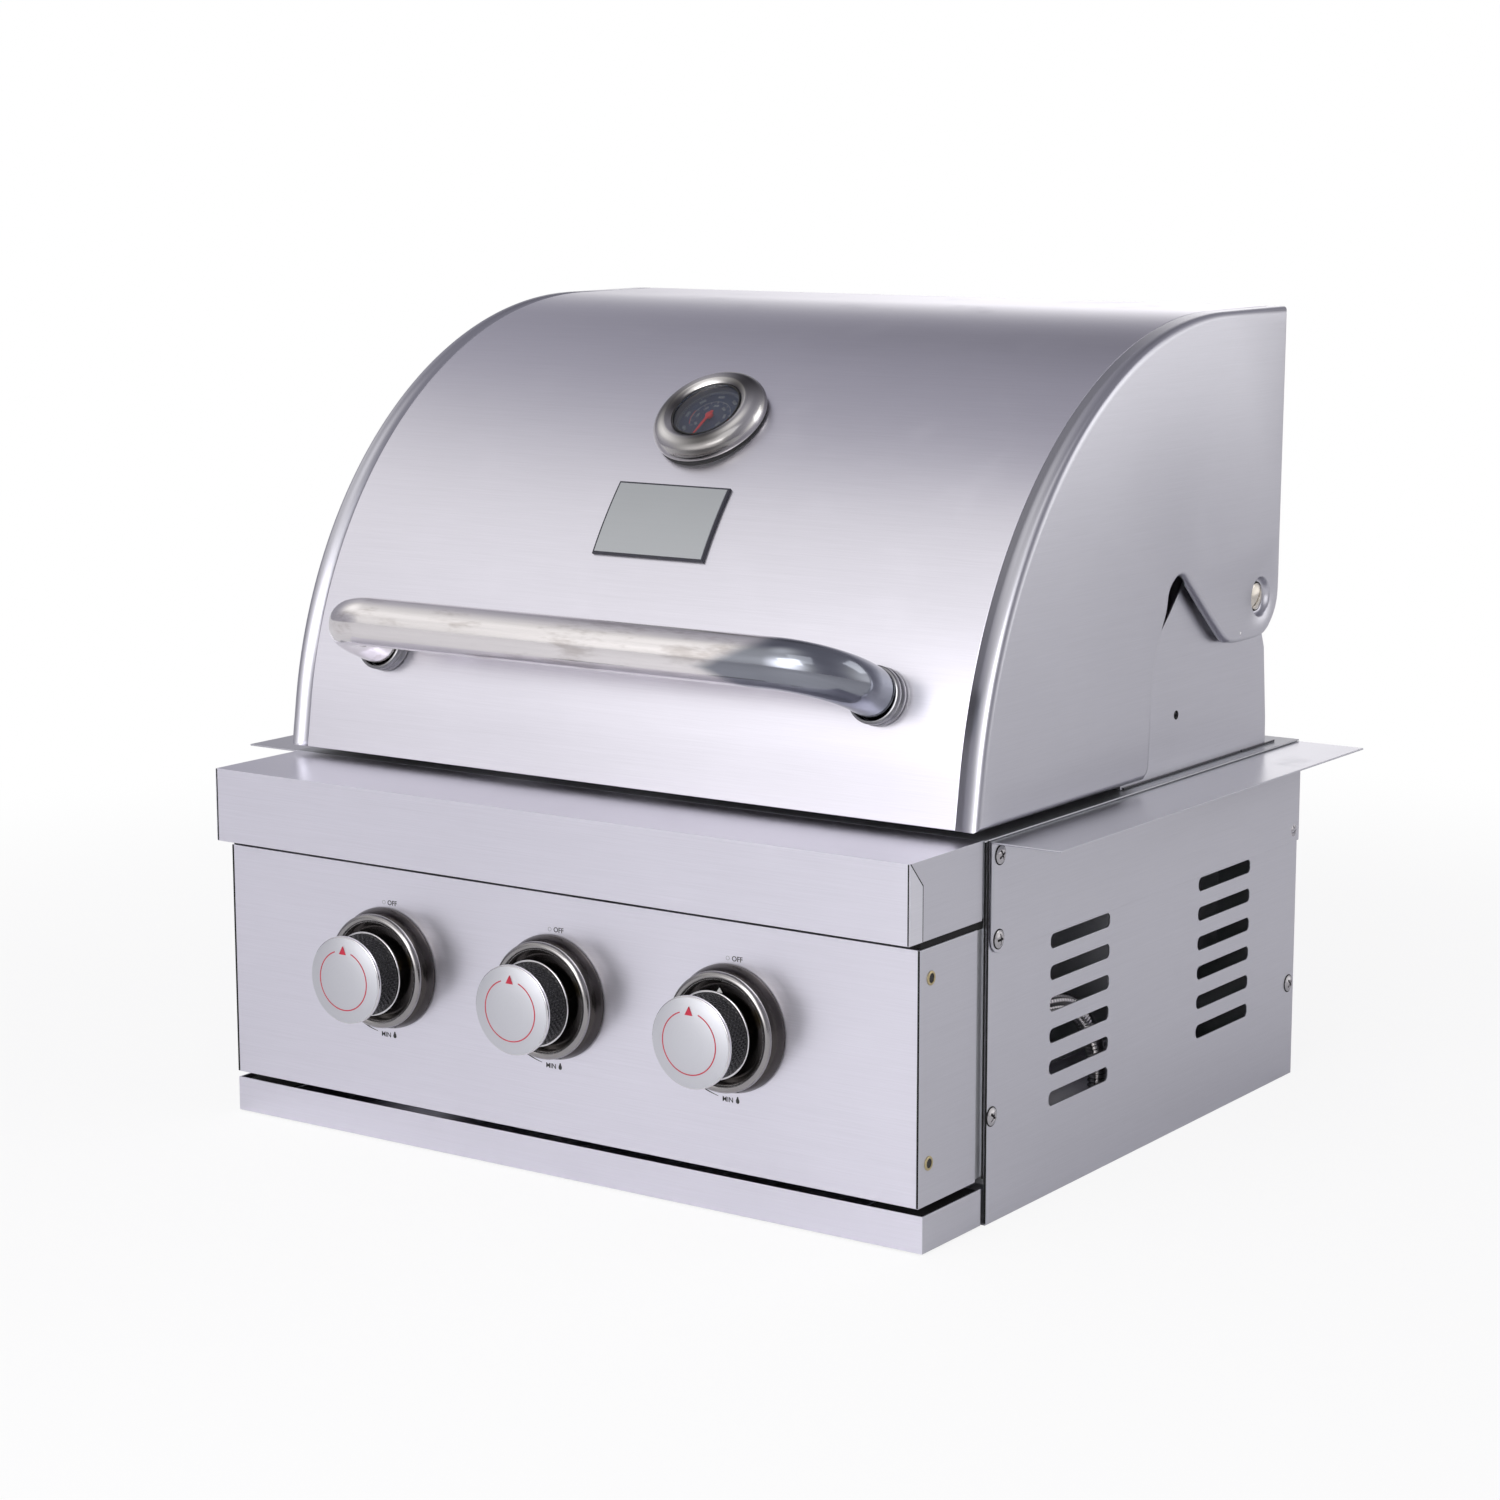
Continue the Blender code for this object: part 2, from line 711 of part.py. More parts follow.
firebox = from_bmesh(bm, "firebox_liner", GALVANISED)
thicken(firebox, SHEET)
for level, top in (("grate", GRATE_LEDGE_Z), ("tamer", TAMER_LEDGE_Z)):
    for end, start, stop in (("front", fire_front - SHEET / 2, fire_front + LEDGE_REACH),
                             ("back", fire_back - LEDGE_REACH, fire_back + SHEET / 2)):
        join(firebox, box("ledge_" + level + "_" + end,
                          (-fire_x - SHEET / 2, start, top - LEDGE_SHEET),
                          (fire_x + SHEET / 2, stop, top), cutter=True))
for number, x in knob_places:
    cut(firebox, pin("burner_hole_" + number, NECK_R + GAP, -LEDGE_REACH / 2, OVERRUN, 12,
                     to_front(x, fire_front, KNOB_Z)))
    cut(firebox, pin("igniter_hole_" + number, IGNITER_R + GAP, -LEDGE_REACH / 2, OVERRUN, 8,
                     to_front(x + IGNITER_SIDE, fire_front, KNOB_Z)))

# Burners with their rear holder and igniters
burner_end = fire_back - BURNER_END_GAP
for number, x in knob_places:
    start = 0.0
    neck_end = -NECK_LENGTH
    flare_end = neck_end - FLARE_LENGTH
    tube_end = -(burner_end - neck_front)
    profile = (
        (NECK_R - BURNER_WALL, start),
        (NECK_R, start),
        (NECK_R, neck_end),
        (BURNER_R, flare_end),
        (BURNER_R, tube_end + BURNER_END / 2),
        (BURNER_R - BURNER_END / 2, tube_end),
        (PIN_R, tube_end),
        (PIN_R, tube_end - PIN_LENGTH),
        (0.0, tube_end - PIN_LENGTH),
        (0.0, tube_end + BURNER_WALL),
        (BURNER_R - BURNER_WALL, tube_end + BURNER_END / 2 + BURNER_WALL),
        (BURNER_R - BURNER_WALL, flare_end),
        (NECK_R - BURNER_WALL, neck_end),
    )
    # The profile ends on its first point, so the inner and the outer wall are one closed skin.
    burner = turned("burner_tube_" + number, profile + profile[:1], 12,
                    to_front(x, neck_front, KNOB_Z), GALVANISED)
    port_start = neck_front - flare_end
    port_pitch = (burner_end - BURNER_END - port_start) / (PORTS + 1)
    for side, sign in (("left", -1), ("right", 1)):
        bm = bmesh.new()
        for k in range(PORTS):
            made = bmesh.ops.create_cube(bm, size=1.0)["verts"]
            bmesh.ops.scale(bm, vec=(PORT_DEPTH * 2, PORT_WIDTH, PORT_DEPTH), verts=made)
            bmesh.ops.translate(bm, vec=(x + sign * (BURNER_R + GAP), port_start + port_pitch * (k + 1),
                                         KNOB_Z), verts=made)
        cut(burner, from_bmesh(bm, "ports_" + number + "_" + side, None, cutter=True))
    igniter_profile = (
        (0.0, IGNITER_OUT),
        (IGNITER_R, IGNITER_OUT),
        (IGNITER_R, SHEET + GAP + SHEET * 2),
        (IGNITER_COLLAR_R, SHEET + GAP + SHEET * 2),
        (IGNITER_COLLAR_R, SHEET + GAP),
        (IGNITER_R, SHEET + GAP),
        (IGNITER_R, -IGNITER_IN),
        (IGNITER_TIP_R, -IGNITER_IN),
        (IGNITER_TIP_R, -IGNITER_IN - IGNITER_TIP),
        (0.0, -IGNITER_IN - IGNITER_TIP),
    )
    turned("igniter_" + number, igniter_profile, 6,
           to_front(x + IGNITER_SIDE, fire_front, KNOB_Z), CERAMIC)

holder_y = fire_back - HOLDER_GAP
holder_x = KNOB_PITCH + HOLDER_SIDE
holder = plate("burner_holder",
               rectangle(-holder_x, KNOB_Z - HOLDER_HEIGHT / 2, holder_x, KNOB_Z + HOLDER_HEIGHT / 2),
               SHEET, to_front(y=holder_y), GALVANISED,
               [circle_loop(x, KNOB_Z, PIN_R + GAP, 12) for _, x in knob_places])
join(holder, box("holder_flange", (-holder_x, holder_y - SHEET / 2, KNOB_Z - HOLDER_HEIGHT / 2 - SHEET / 2),
                 (holder_x, fire_back - GAP, KNOB_Z - HOLDER_HEIGHT / 2 + SHEET / 2), cutter=True))


def rods_mesh(name, runs, sides, look=None, cutter=False):
    """Straight rods, each given as (start, end, radius), as one mesh of separate cylinders."""
    bm = bmesh.new()
    for start, end, radius in runs:
        start = Vector(start)
        run = Vector(end) - start
        turn = run.to_track_quat("Z", "Y").to_matrix().to_4x4()
        made = bmesh.ops.create_cone(bm, cap_ends=True, segments=sides, radius1=radius,
                                     radius2=radius, depth=run.length)["verts"]
        bmesh.ops.transform(bm, matrix=Matrix.Translation(start + run / 2) @ turn, verts=made)
    return from_bmesh(bm, name, look, cutter=cutter)


# Cooking grates: bars from front to back on three cross rods
cross_z = GRATE_LEDGE_Z + GAP + GRATE_CROSS_R
bar_z = cross_z + GRATE_CROSS_R + GRATE_BAR_R - GRATE_BITE
grate_front = fire_front + GRATE_PLAY
grate_back = fire_back - GRATE_PLAY
for side, sign in (("left", -1), ("right", 1)):
    near = sign * GRATE_PLAY
    far = sign * (fire_x - GRATE_PLAY)
    spread = (far - near) / GRATE_BARS
    crosses = [((near, y, cross_z), (far, y, cross_z), GRATE_CROSS_R)
               for y in (grate_front + GRATE_CROSS_R, (grate_front + grate_back) / 2,
                         grate_back - GRATE_CROSS_R)]
    bars = [((near + spread * (k + 1 / 2), grate_front, bar_z),
             (near + spread * (k + 1 / 2), grate_back, bar_z), GRATE_BAR_R)
            for k in range(GRATE_BARS)]
    grate = rods_mesh("cooking_grate_" + side, bars, 6, POLISHED)
    join(grate, rods_mesh("grate_cross_" + side, crosses, 6, cutter=True))

# Flame tamer: one pressed sheet with a ridge over each burner
tamer_z = TAMER_LEDGE_Z + GAP
ridge = [(-TAMER_HALF_WIDTH, 0.0), (-TAMER_CROWN, TAMER_RISE), (TAMER_CROWN, TAMER_RISE),
         (TAMER_HALF_WIDTH, 0.0)]
tamer_line = [(-KNOB_PITCH - TAMER_HALF_WIDTH - TAMER_BRIM, 0.0)]
for _, x in knob_places:
    tamer_line += [(x + dx, dz) for dx, dz in ridge]
tamer_line.append((KNOB_PITCH + TAMER_HALF_WIDTH + TAMER_BRIM, 0.0))
bm = bmesh.new()
line = [bm.verts.new((x, grate_front, tamer_z + dz)) for x, dz in tamer_line]
edges = [bm.edges.new(pair) for pair in zip(line, line[1:])]
swept = bmesh.ops.extrude_edge_only(bm, edges=edges)["geom"]
bmesh.ops.translate(bm, vec=(0, grate_back - grate_front, 0),
                    verts=[g for g in swept if isinstance(g, bmesh.types.BMVert)])
bm.normal_update()
if sum(f.normal.z for f in bm.faces) < 0:
    bmesh.ops.reverse_faces(bm, faces=bm.faces)
tamer = from_bmesh(bm, "flame_tamer", GALVANISED)
thicken(tamer, SHEET, 1.0)
for number, x in (("1", -KNOB_PITCH / 2), ("2", KNOB_PITCH / 2)):
    bm = bmesh.new()
    for k in range(TAMER_SLOTS):
        made = bmesh.ops.create_cube(bm, size=1.0)["verts"]
        bmesh.ops.scale(bm, vec=(TAMER_SLOT_WIDTH, TAMER_SLOT_LENGTH, OVERRUN * 2), verts=made)
        bmesh.ops.translate(bm, vec=(x, (grate_front + grate_back) / 2
                                     + TAMER_SLOT_PITCH * (k - (TAMER_SLOTS - 1) / 2), tamer_z),
                            verts=made)
    cut(tamer, from_bmesh(bm, "tamer_slots_" + number, None, cutter=True))

# Knobs: a bezel on the panel, a grip and a cap on the stem
for number, x in knob_places:
    where = to_front(x, panel_front, KNOB_Z)
    lip = BEZEL_R - BEZEL_HEIGHT / 5
    bezel_profile = (
        (lip - BEZEL_HEIGHT / 7, BEZEL_HEIGHT),
        (lip + BEZEL_HEIGHT / 40, BEZEL_HEIGHT * 0.84),
        (lip - BEZEL_HEIGHT / 40, BEZEL_HEIGHT * 0.66),
        (BEZEL_R - BEZEL_HEIGHT / 30, BEZEL_HEIGHT * 0.22),
        (BEZEL_R, GAP),
        (BEZEL_BORE_R, GAP),
        (BEZEL_BORE_R, BEZEL_HEIGHT * 0.20),
        (BEZEL_R * 0.62, BEZEL_HEIGHT * 0.28),
        (BEZEL_R * 0.80, BEZEL_HEIGHT * 0.62),
        (lip - BEZEL_HEIGHT / 4, BEZEL_HEIGHT * 0.88),
    )
    turned("knob_bezel_" + number, bezel_profile, 28, where, CHROME, closed=True)
    stem_front = GRIP_REAR + STEM_GRIP
    grip_profile = (
        (STEM_R + GAP, GRIP_FRONT),
        (GRIP_R - GRIP_RING, GRIP_FRONT),
        (GRIP_R, GRIP_FRONT - GRIP_RING / 2),
        (GRIP_R, GRIP_REAR + GRIP_RING),
        (GRIP_RING_R, GRIP_REAR + GRIP_RING),
        (GRIP_RING_R, GRIP_REAR),
        (STEM_R + GAP, GRIP_REAR),
    )
    turned("knob_grip_" + number, grip_profile, 24, where, BLACK, closed=True)
    cap_low = GRIP_FRONT + GAP
    cap_profile = (
        (0.0, cap_low + CAP_RIM + CAP_DOME),
        (CAP_R * 0.45, cap_low + CAP_RIM + CAP_DOME * 0.85),
        (CAP_R * 0.85, cap_low + CAP_RIM + CAP_DOME * 0.35),
        (CAP_R, cap_low + CAP_RIM - CAP_DOME / 5),
        (CAP_R, cap_low),
        (0.0, cap_low),
    )
    turned("knob_cap_" + number, cap_profile, 28, where, SATIN)

    # Valve: body with a jet behind, a plug that turns in it and a stem that slides in the plug
    body_front = -VALVE_DEEP
    body_back = body_front - VALVE_LENGTH
    jet_end = panel_front - neck_front - JET_INSIDE
    socket_end = body_front + PLUG_OUT - PLUG_LENGTH - GAP
    valve_profile = (
        (PLUG_R + GAP, body_front),
        (VALVE_COLLAR_R, body_front),
        (VALVE_COLLAR_R, body_front - VALVE_COLLAR),
        (VALVE_R, body_front - VALVE_COLLAR),
        (VALVE_R, body_back),
        (JET_R, body_back),
        (JET_R, jet_end),
        (0.0, jet_end),
        (0.0, socket_end),
        (PLUG_R + GAP, socket_end),
    )
    valve = turned("gas_valve_" + number, valve_profile + valve_profile[:1], 12, where, BRASS)
    stub = pin("valve_stub_" + number, VALVE_STUB_R, 0.0, KNOB_Z - VALVE_R * 0.8 - manifold_z, 10,
               upright(x, manifold_y, manifold_z))
    cut(stub, pin("stub_saddle_" + number, MANIFOLD_R + GAP, -VALVE_R, VALVE_R, 16,
                  along_x(x, manifold_y, manifold_z)))
    join(valve, stub)

    plug_front = body_front + PLUG_OUT
    plug_profile = (
        (STEM_R + GAP, plug_front),
        (PLUG_R, plug_front),
        (PLUG_R, plug_front - PLUG_LENGTH),
        (0.0, plug_front - PLUG_LENGTH),
        (0.0, plug_front - PLUG_SOCKET),
        (STEM_R + GAP, plug_front - PLUG_SOCKET),
    )
    plug = turned("valve_plug_" + number, plug_profile + plug_profile[:1], 12, where, BRASS)
    key = box("plug_key_" + number,
              (x - STEM_R, panel_front - plug_front + OVERRUN, KNOB_Z + STEM_R - STEM_FLAT + GAP),
              (x + STEM_R, panel_front - plug_front + PLUG_SOCKET + OVERRUN / 2,
               KNOB_Z + STEM_R + GAP * 2), cutter=True)
    join(plug, key)

    stem = pin("valve_stem_" + number, STEM_R, plug_front - STEM_IN_PLUG, stem_front, 12, where,
               BRASS, cutter=False)
    cut(stem, box("stem_flat_" + number,
                  (x - STEM_R * 2, panel_front - stem_front - OVERRUN, KNOB_Z + STEM_R - STEM_FLAT),
                  (x + STEM_R * 2, panel_front - plug_front + STEM_IN_PLUG + OVERRUN,
                   KNOB_Z + STEM_R * 2), cutter=True))

# Manifold with its elbow, the ribbed hose and the inlet in the base
elbow_start_x = MANIFOLD_END_X + GAP
rod("gas_manifold", [(-MANIFOLD_END_X, manifold_y, manifold_z), (MANIFOLD_END_X, manifold_y, manifold_z)],
    MANIFOLD_R, 16, GALVANISED)
elbow_end_y = case_front + HOSE_START_IN


def rounded_path(corners, bend, steps):
    """A path through the corners, each of them rounded with the same radius."""
    path = [Vector(corners[0])]
    for before, at, after in zip(corners, corners[1:], corners[2:]):
        at = Vector(at)
        back = (Vector(before) - at).normalized()
        ahead = (Vector(after) - at).normalized()
        half = back.angle(ahead) / 2
        centre = at + (back + ahead).normalized() * bend / math.sin(half)
        start = at + back * bend / math.tan(half)
        end = at + ahead * bend / math.tan(half)
        for k in range(steps + 1):
            way = (start - centre).normalized().slerp((end - centre).normalized(), k / steps)
            path.append(centre + way * bend)
    path.append(Vector(corners[-1]))
    return path


elbow = rod("hose_elbow", rounded_path([
    (elbow_start_x, manifold_y, manifold_z),
    (hose_x, manifold_y, manifold_z),
    (hose_x, (manifold_y + case_front) / 2, HOSE_START_Z),
    (hose_x, elbow_end_y, HOSE_START_Z)], ELBOW_BEND / 2, 3), ELBOW_R, 12, BRASS)
join(elbow, pin("elbow_barb", BARB_R, -BARB_LENGTH, BARB_LENGTH, 8,
                to_front(hose_x, elbow_end_y, HOSE_START_Z)))

inlet_profile = (
    (0.0, INLET_TOP_Z + BARB_LENGTH),
    (BARB_R, INLET_TOP_Z + BARB_LENGTH),
    (BARB_R, INLET_TOP_Z),
    (HOSE_R, INLET_TOP_Z),
    (HOSE_R, INLET_TOP_Z - INLET_NECK),
    (INLET_HEX_R, INLET_TOP_Z - INLET_NECK),
    (INLET_HEX_R, SHEET + GAP + INLET_FLANGE),
    (INLET_FLANGE_R, SHEET + GAP + INLET_FLANGE),
    (INLET_FLANGE_R, SHEET + GAP),
    (INLET_R, SHEET + GAP),
    (INLET_R, INLET_FLOOR_GAP),
    (0.0, INLET_FLOOR_GAP),
)
turned("gas_inlet_fitting", inlet_profile, 12, upright(hose_x, inlet_y, 0.0), BRASS)

# The hose's route as shares of the way from the elbow to the inlet: along Y, then down Z
hose_start = Vector((hose_x, elbow_end_y + GAP, HOSE_START_Z))
hose_end = Vector((hose_x, inlet_y, INLET_TOP_Z + GAP))
HOSE_ROUTE_SHARES = (
    (0.00, 1.00),
    (0.06, 1.00),
    (0.12, 1.00),
    (0.28, 1.04),
    (0.48, 1.08),
    (0.68, 1.03),
    (0.83, 0.88),
    (0.93, 0.67),
    (0.985, 0.45),
    (1.00, 0.28),
    (1.00, 0.14),
    (1.00, 0.00),
)


def hose_place(share):
    """A point of the route, from its shares."""
    along, up = share
    return Vector((hose_x, hose_start.y + along * (hose_end.y - hose_start.y),
                   hose_end.z + up * (hose_start.z - hose_end.z)))


def smooth_route(knots, count):
    """Evenly spaced points on a smooth curve through the knots."""
    ends = [knots[0] * 2 - knots[1]] + knots + [knots[-1] * 2 - knots[-2]]
    fine = []
    for a, b, c, d in zip(ends, ends[1:], ends[2:], ends[3:]):
        for k in range(24):
            t = k / 24
            fine.append((b * 2 + (c - a) * t + (a * 2 - b * 5 + c * 4 - d) * t ** 2
                         + (b * 3 - a - c * 3 + d) * t ** 3) / 2)
    fine.append(knots[-1])
    lengths = [0.0]
    for first, second in zip(fine, fine[1:]):
        lengths.append(lengths[-1] + (second - first).length)
    points = []
    at = 0
    for k in range(count):
        goal = lengths[-1] * k / (count - 1)
        while at < len(fine) - 2 and lengths[at + 1] < goal:
            at += 1
        share = (goal - lengths[at]) / (lengths[at + 1] - lengths[at])
        points.append(fine[at].lerp(fine[at + 1], min(max(share, 0.0), 1.0)))
    return points


hose_knots = [hose_place(s) for s in HOSE_ROUTE_SHARES]
hose_points = smooth_route(hose_knots, HOSE_RIBS * 2 + 1)
plain = 5
hose_radii = [HOSE_ROOT_R if k % 2 == 0 or k < plain or k > HOSE_RIBS * 2 - plain else HOSE_R
              for k in range(HOSE_RIBS * 2 + 1)]
hose = rod("gas_hose", hose_points, HOSE_R, 8, POLISHED, radii=hose_radii)
bore_points = smooth_route(hose_knots, HOSE_BORE_POINTS)
bore_points[0] = bore_points[0] - Vector((0, OVERRUN, 0))
bore_points[-1] = bore_points[-1] - Vector((0, 0, OVERRUN))
cut(hose, rod("hose_bore", bore_points, HOSE_BORE_R, 8, cutter=True))

# Hood profile: a straight that leans back, one long arc and a flat top
lean_up = Vector((math.sin(HOOD_LEAN), math.cos(HOOD_LEAN)))
lean_out = Vector((-math.cos(HOOD_LEAN), math.sin(HOOD_LEAN)))
hood_corner = Vector((hood_front, hood_low))
arc_start = hood_corner + lean_up * HOOD_STRAIGHT
arc_centre = arc_start - lean_out * HOOD_R
arc_turn = math.pi / 2 - HOOD_LEAN
hood_top = arc_centre.y + HOOD_R
HOOD_HEIGHT = hood_top - hood_low
hood_back = hood_front + HOOD_DEPTH


def hood_share(shares):
    """A point (Y, Z) from shares of the hood's depth and height."""
    return Vector((hood_front + shares[0] * HOOD_DEPTH, hood_low + shares[1] * HOOD_HEIGHT))


def hood_at(length):
    """The point (Y, Z) and the outward normal at a length along the profile."""
    if length < HOOD_STRAIGHT:
        return hood_corner + lean_up * length, lean_out.copy()
    turn = (length - HOOD_STRAIGHT) / HOOD_R
    angle = math.pi - HOOD_LEAN - turn
    out = Vector((math.cos(angle), math.sin(angle)))
    return arc_centre + out * HOOD_R, out


front_line = [hood_corner]
front_line += [hood_at(HOOD_STRAIGHT + HOOD_R * arc_turn * k / HOOD_STEPS)[0]
               for k in range(HOOD_STEPS + 1)]
back_corner = Vector((hood_back, hood_top))
back_low = hood_share(BACK_LOW_SHARES)
pivot = hood_share(PIVOT_SHARES)
hinge = axis_empty("hood_hinge_axis", (0.0, pivot.x, pivot.y))


def on_hood(obj):
    """Hang a finished piece on the hood's hinge axis without moving it."""
    obj.parent = hinge
    obj.matrix_parent_inverse = Matrix.Translation(-hinge.location)
    return obj


def inset(outline, distance):
    """The closed outline, which runs against the clock, moved inwards by a distance."""
    moved = []
    for before, at, after in zip(outline[-1:] + outline[:-1], outline, outline[1:] + outline[:1]):
        first = (at - before).normalized()
        second = (after - at).normalized()
        normal_a = Vector((-first.y, first.x))
        normal_b = Vector((-second.y, second.x))
        middle = normal_a + normal_b
        moved.append(at + middle * distance * 2 / middle.length_squared)
    return moved


# Hood skin: the bent front and top sheet with its back wall
skin_line = [hood_corner + Vector((HOOD_LIP, 0.0))] + front_line + [back_corner, back_low]
bm = bmesh.new()
line = [bm.verts.new((-skin_x, p.x, p.y)) for p in skin_line]
edges = [bm.edges.new(pair) for pair in zip(line, line[1:])]
swept = bmesh.ops.extrude_edge_only(bm, edges=edges)["geom"]
bmesh.ops.translate(bm, vec=(skin_x * 2, 0, 0),
                    verts=[g for g in swept if isinstance(g, bmesh.types.BMVert)])
bm.normal_update()
if max(bm.faces, key=lambda f: f.calc_center_median().z).normal.z < 0:
    bmesh.ops.reverse_faces(bm, faces=bm.faces)
hood_skin = from_bmesh(bm, "hood_skin", BRUSHED)
thicken(hood_skin, SHEET)

# End caps: a side sheet with a bent edge all round and a dimple at the pivot
cap_outline = [hood_share(s) for s in CAP_EDGE_SHARES]
shallow_count = len(cap_outline) - 1
cap_outline += [back_corner] + front_line[::-1]
cap_depths = [CAP_SHALLOW] * shallow_count + [CAP_BAND] * (len(cap_outline) - shallow_count)
for side, sign in (("left", -1), ("right", 1)):
    bm = bmesh.new()

    def ring_of(points, xs):
        """Edges of a closed ring at the given X places."""
        verts = [bm.verts.new((-x, p.x, p.y)) for p, x in zip(points, xs)]
        return [bm.edges.new((verts[k], verts[(k + 1) % len(verts)])) for k in range(len(verts))]

    count = len(cap_outline)
    rings = [ring_of(cap_outline, [hood_x - d for d in cap_depths])]
    for k in range(BEND_STEPS + 1):
        angle = math.pi / 2 * k / BEND_STEPS
        rings.append(ring_of(inset(cap_outline, CAP_BEND * (1 - math.cos(angle))),
                             [hood_x - CAP_BEND * (1 - math.sin(angle))] * count))
    for upper, lower in zip(rings, rings[1:]):
        bmesh.ops.bridge_loops(bm, edges=upper + lower)
    dimple = []
    for radius, depth in ((LUG_DIMPLE_R, 0.0), (LUG_FLOOR_R, LUG_SINK), (SCREW_R + GAP, LUG_SINK)):
        loop = [pivot + Vector(p) for p in circle_loop(0.0, 0.0, radius, DIMPLE_STEPS)]
        dimple.append(ring_of(loop, [hood_x - depth] * DIMPLE_STEPS))
    for upper, lower in zip(dimple, dimple[1:]):
        bmesh.ops.bridge_loops(bm, edges=upper + lower)
    bmesh.ops.triangle_fill(bm, use_beauty=True, use_dissolve=False, edges=rings[-1] + dimple[0])
    if sign > 0:
        bmesh.ops.scale(bm, vec=(-1, 1, 1), verts=bm.verts)
    bmesh.ops.recalc_face_normals(bm, faces=bm.faces)
    side_faces = [f for f in bm.faces if abs(f.normal.x) > 0.9]
    if sum(f.normal.x * f.calc_area() for f in side_faces) * sign < 0:
        bmesh.ops.reverse_faces(bm, faces=bm.faces)
    end_cap = from_bmesh(bm, "hood_end_cap_" + side, BRUSHED)
    thicken(end_cap, SHEET)
    on_hood(end_cap)

    # Pivot screw: a slotted head in the dimple, a shank through cap and gable and a nut inside
    head_low = hood_x - LUG_SINK + GAP
    nut_top = gable_in - GAP
    screw_profile = (
        (0.0, head_low + SCREW_HEAD),
        (SCREW_HEAD_R * 0.9, head_low + SCREW_HEAD),
        (SCREW_HEAD_R, head_low + SCREW_HEAD * 0.7),
        (SCREW_HEAD_R, head_low),
        (SCREW_R, head_low),
        (SCREW_R, nut_top),
        (SCREW_NUT_R, nut_top),
        (SCREW_NUT_R, nut_top - SCREW_NUT),
        (0.0, nut_top - SCREW_NUT),
    )
    outward = along_x(0.0, pivot.x, pivot.y)
    if sign < 0:
        outward = outward @ Matrix.Rotation(math.pi, 4, "X")
    screw = turned("pivot_screw_" + side, screw_profile, 14, outward, POLISHED)
    slot_inner = head_low + SCREW_HEAD - SCREW_SLOT_DEPTH
    slot_outer = head_low + SCREW_HEAD + OVERRUN
    cut(screw, box("screw_slot_" + side,
                   (min(sign * slot_inner, sign * slot_outer), pivot.x - SCREW_HEAD_R - OVERRUN,
                    pivot.y - SCREW_SLOT / 2),
                   (max(sign * slot_inner, sign * slot_outer), pivot.x + SCREW_HEAD_R + OVERRUN,
                    pivot.y + SCREW_SLOT / 2), cutter=True))
    on_hood(screw)

# Fixed frame at the back: a wall that steps in before the pivots, and two gables that carry them
gable_base = deck_top + GAP
gable_top = hood_share(GABLE_SHARES[-1]).y
lug_arc = [pivot + Vector((math.cos(math.radians(a)), math.sin(math.radians(a)))) * GABLE_LUG_R
           for a in (-45, -20, 5, 30, 60, 90)]
gable_line = [Vector((hood_share(GABLE_SHARES[0]).x, gable_base))]
gable_line += [Vector((hood_share(GABLE_REAR_SHARES[0]).x + GAP, gable_base))]
gable_line += [hood_share(s) for s in GABLE_REAR_SHARES] + lug_arc
gable_line += [hood_share(s) for s in GABLE_SHARES[::-1]]
wall_y = hood_share((BACK_WALL_SHARE, 0.0)).x
wall_top = hood_share((0.0, BACK_TOP_SHARE)).y
inner_y = hood_share((INNER_WALL_SHARE, 0.0)).x
step_low = hood_share((0.0, STEP_LOW_SHARE)).y
step_high = hood_share((0.0, STEP_HIGH_SHARE)).y
step_drop = math.tan(math.atan2(wall_y - inner_y, step_high - step_low) / 2) * SHEET
wall_line = [
    (wall_y, gable_base),
    (wall_y, step_low),
    (inner_y, step_high),
    (inner_y, wall_top),
    (inner_y - SHEET, wall_top),
    (inner_y - SHEET, step_high - step_drop),
    (wall_y - SHEET, step_low - step_drop),
    (wall_y - SHEET, gable_base),
]
hood_frame = plate("hood_frame", wall_line, (gable_in + SHEET / 2) * 2, along_x(), BRUSHED)
rack_back = pivot.x - RACK_BACK + RACK_DEPTH * 0.4
rack_front = rack_back - RACK_DEPTH
for side, sign in (("left", -1), ("right", 1)):
    gable = plate("gable_" + side, [tuple(p) for p in gable_line], SHEET,
                  along_x(sign * (gable_out - SHEET / 2)), cutter=True,
                  holes=[circle_loop(*hood_share(GABLE_HOLE_SHARES), GABLE_HOLE_R, 12)])
    join(hood_frame, gable)
    boss_end = hood_x - LUG_SINK - SHEET - GAP
    join(hood_frame, pin("boss_" + side, BOSS_R, min(sign * (gable_out - SHEET / 2), sign * boss_end),
                         max(sign * (gable_out - SHEET / 2), sign * boss_end), 12,
                         along_x(0.0, pivot.x, pivot.y)))
    for part, low, high in (("foot", (gable_in - GABLE_FOOT, gable_line[0].x, gable_base),
                             (gable_in + SHEET / 2, wall_y - SHEET / 2, gable_base + SHEET)),
                            ("shelf", (gable_in - RACK_SHELF_WIDTH, rack_front, RACK_SHELF_Z - SHEET),
                             (gable_in + SHEET / 2, rack_back, RACK_SHELF_Z))):
        xs = sorted((sign * low[0], sign * high[0]))
        join(hood_frame, box(part + "_" + side, (xs[0], low[1], low[2]), (xs[1], high[1], high[2]),
                             cutter=True))
    cut(hood_frame, pin("pivot_bore_" + side, SCREW_R + GAP, sign * gable_out - CAP_BAND,
                        sign * gable_out + CAP_BAND, 12, along_x(0.0, pivot.x, pivot.y)))

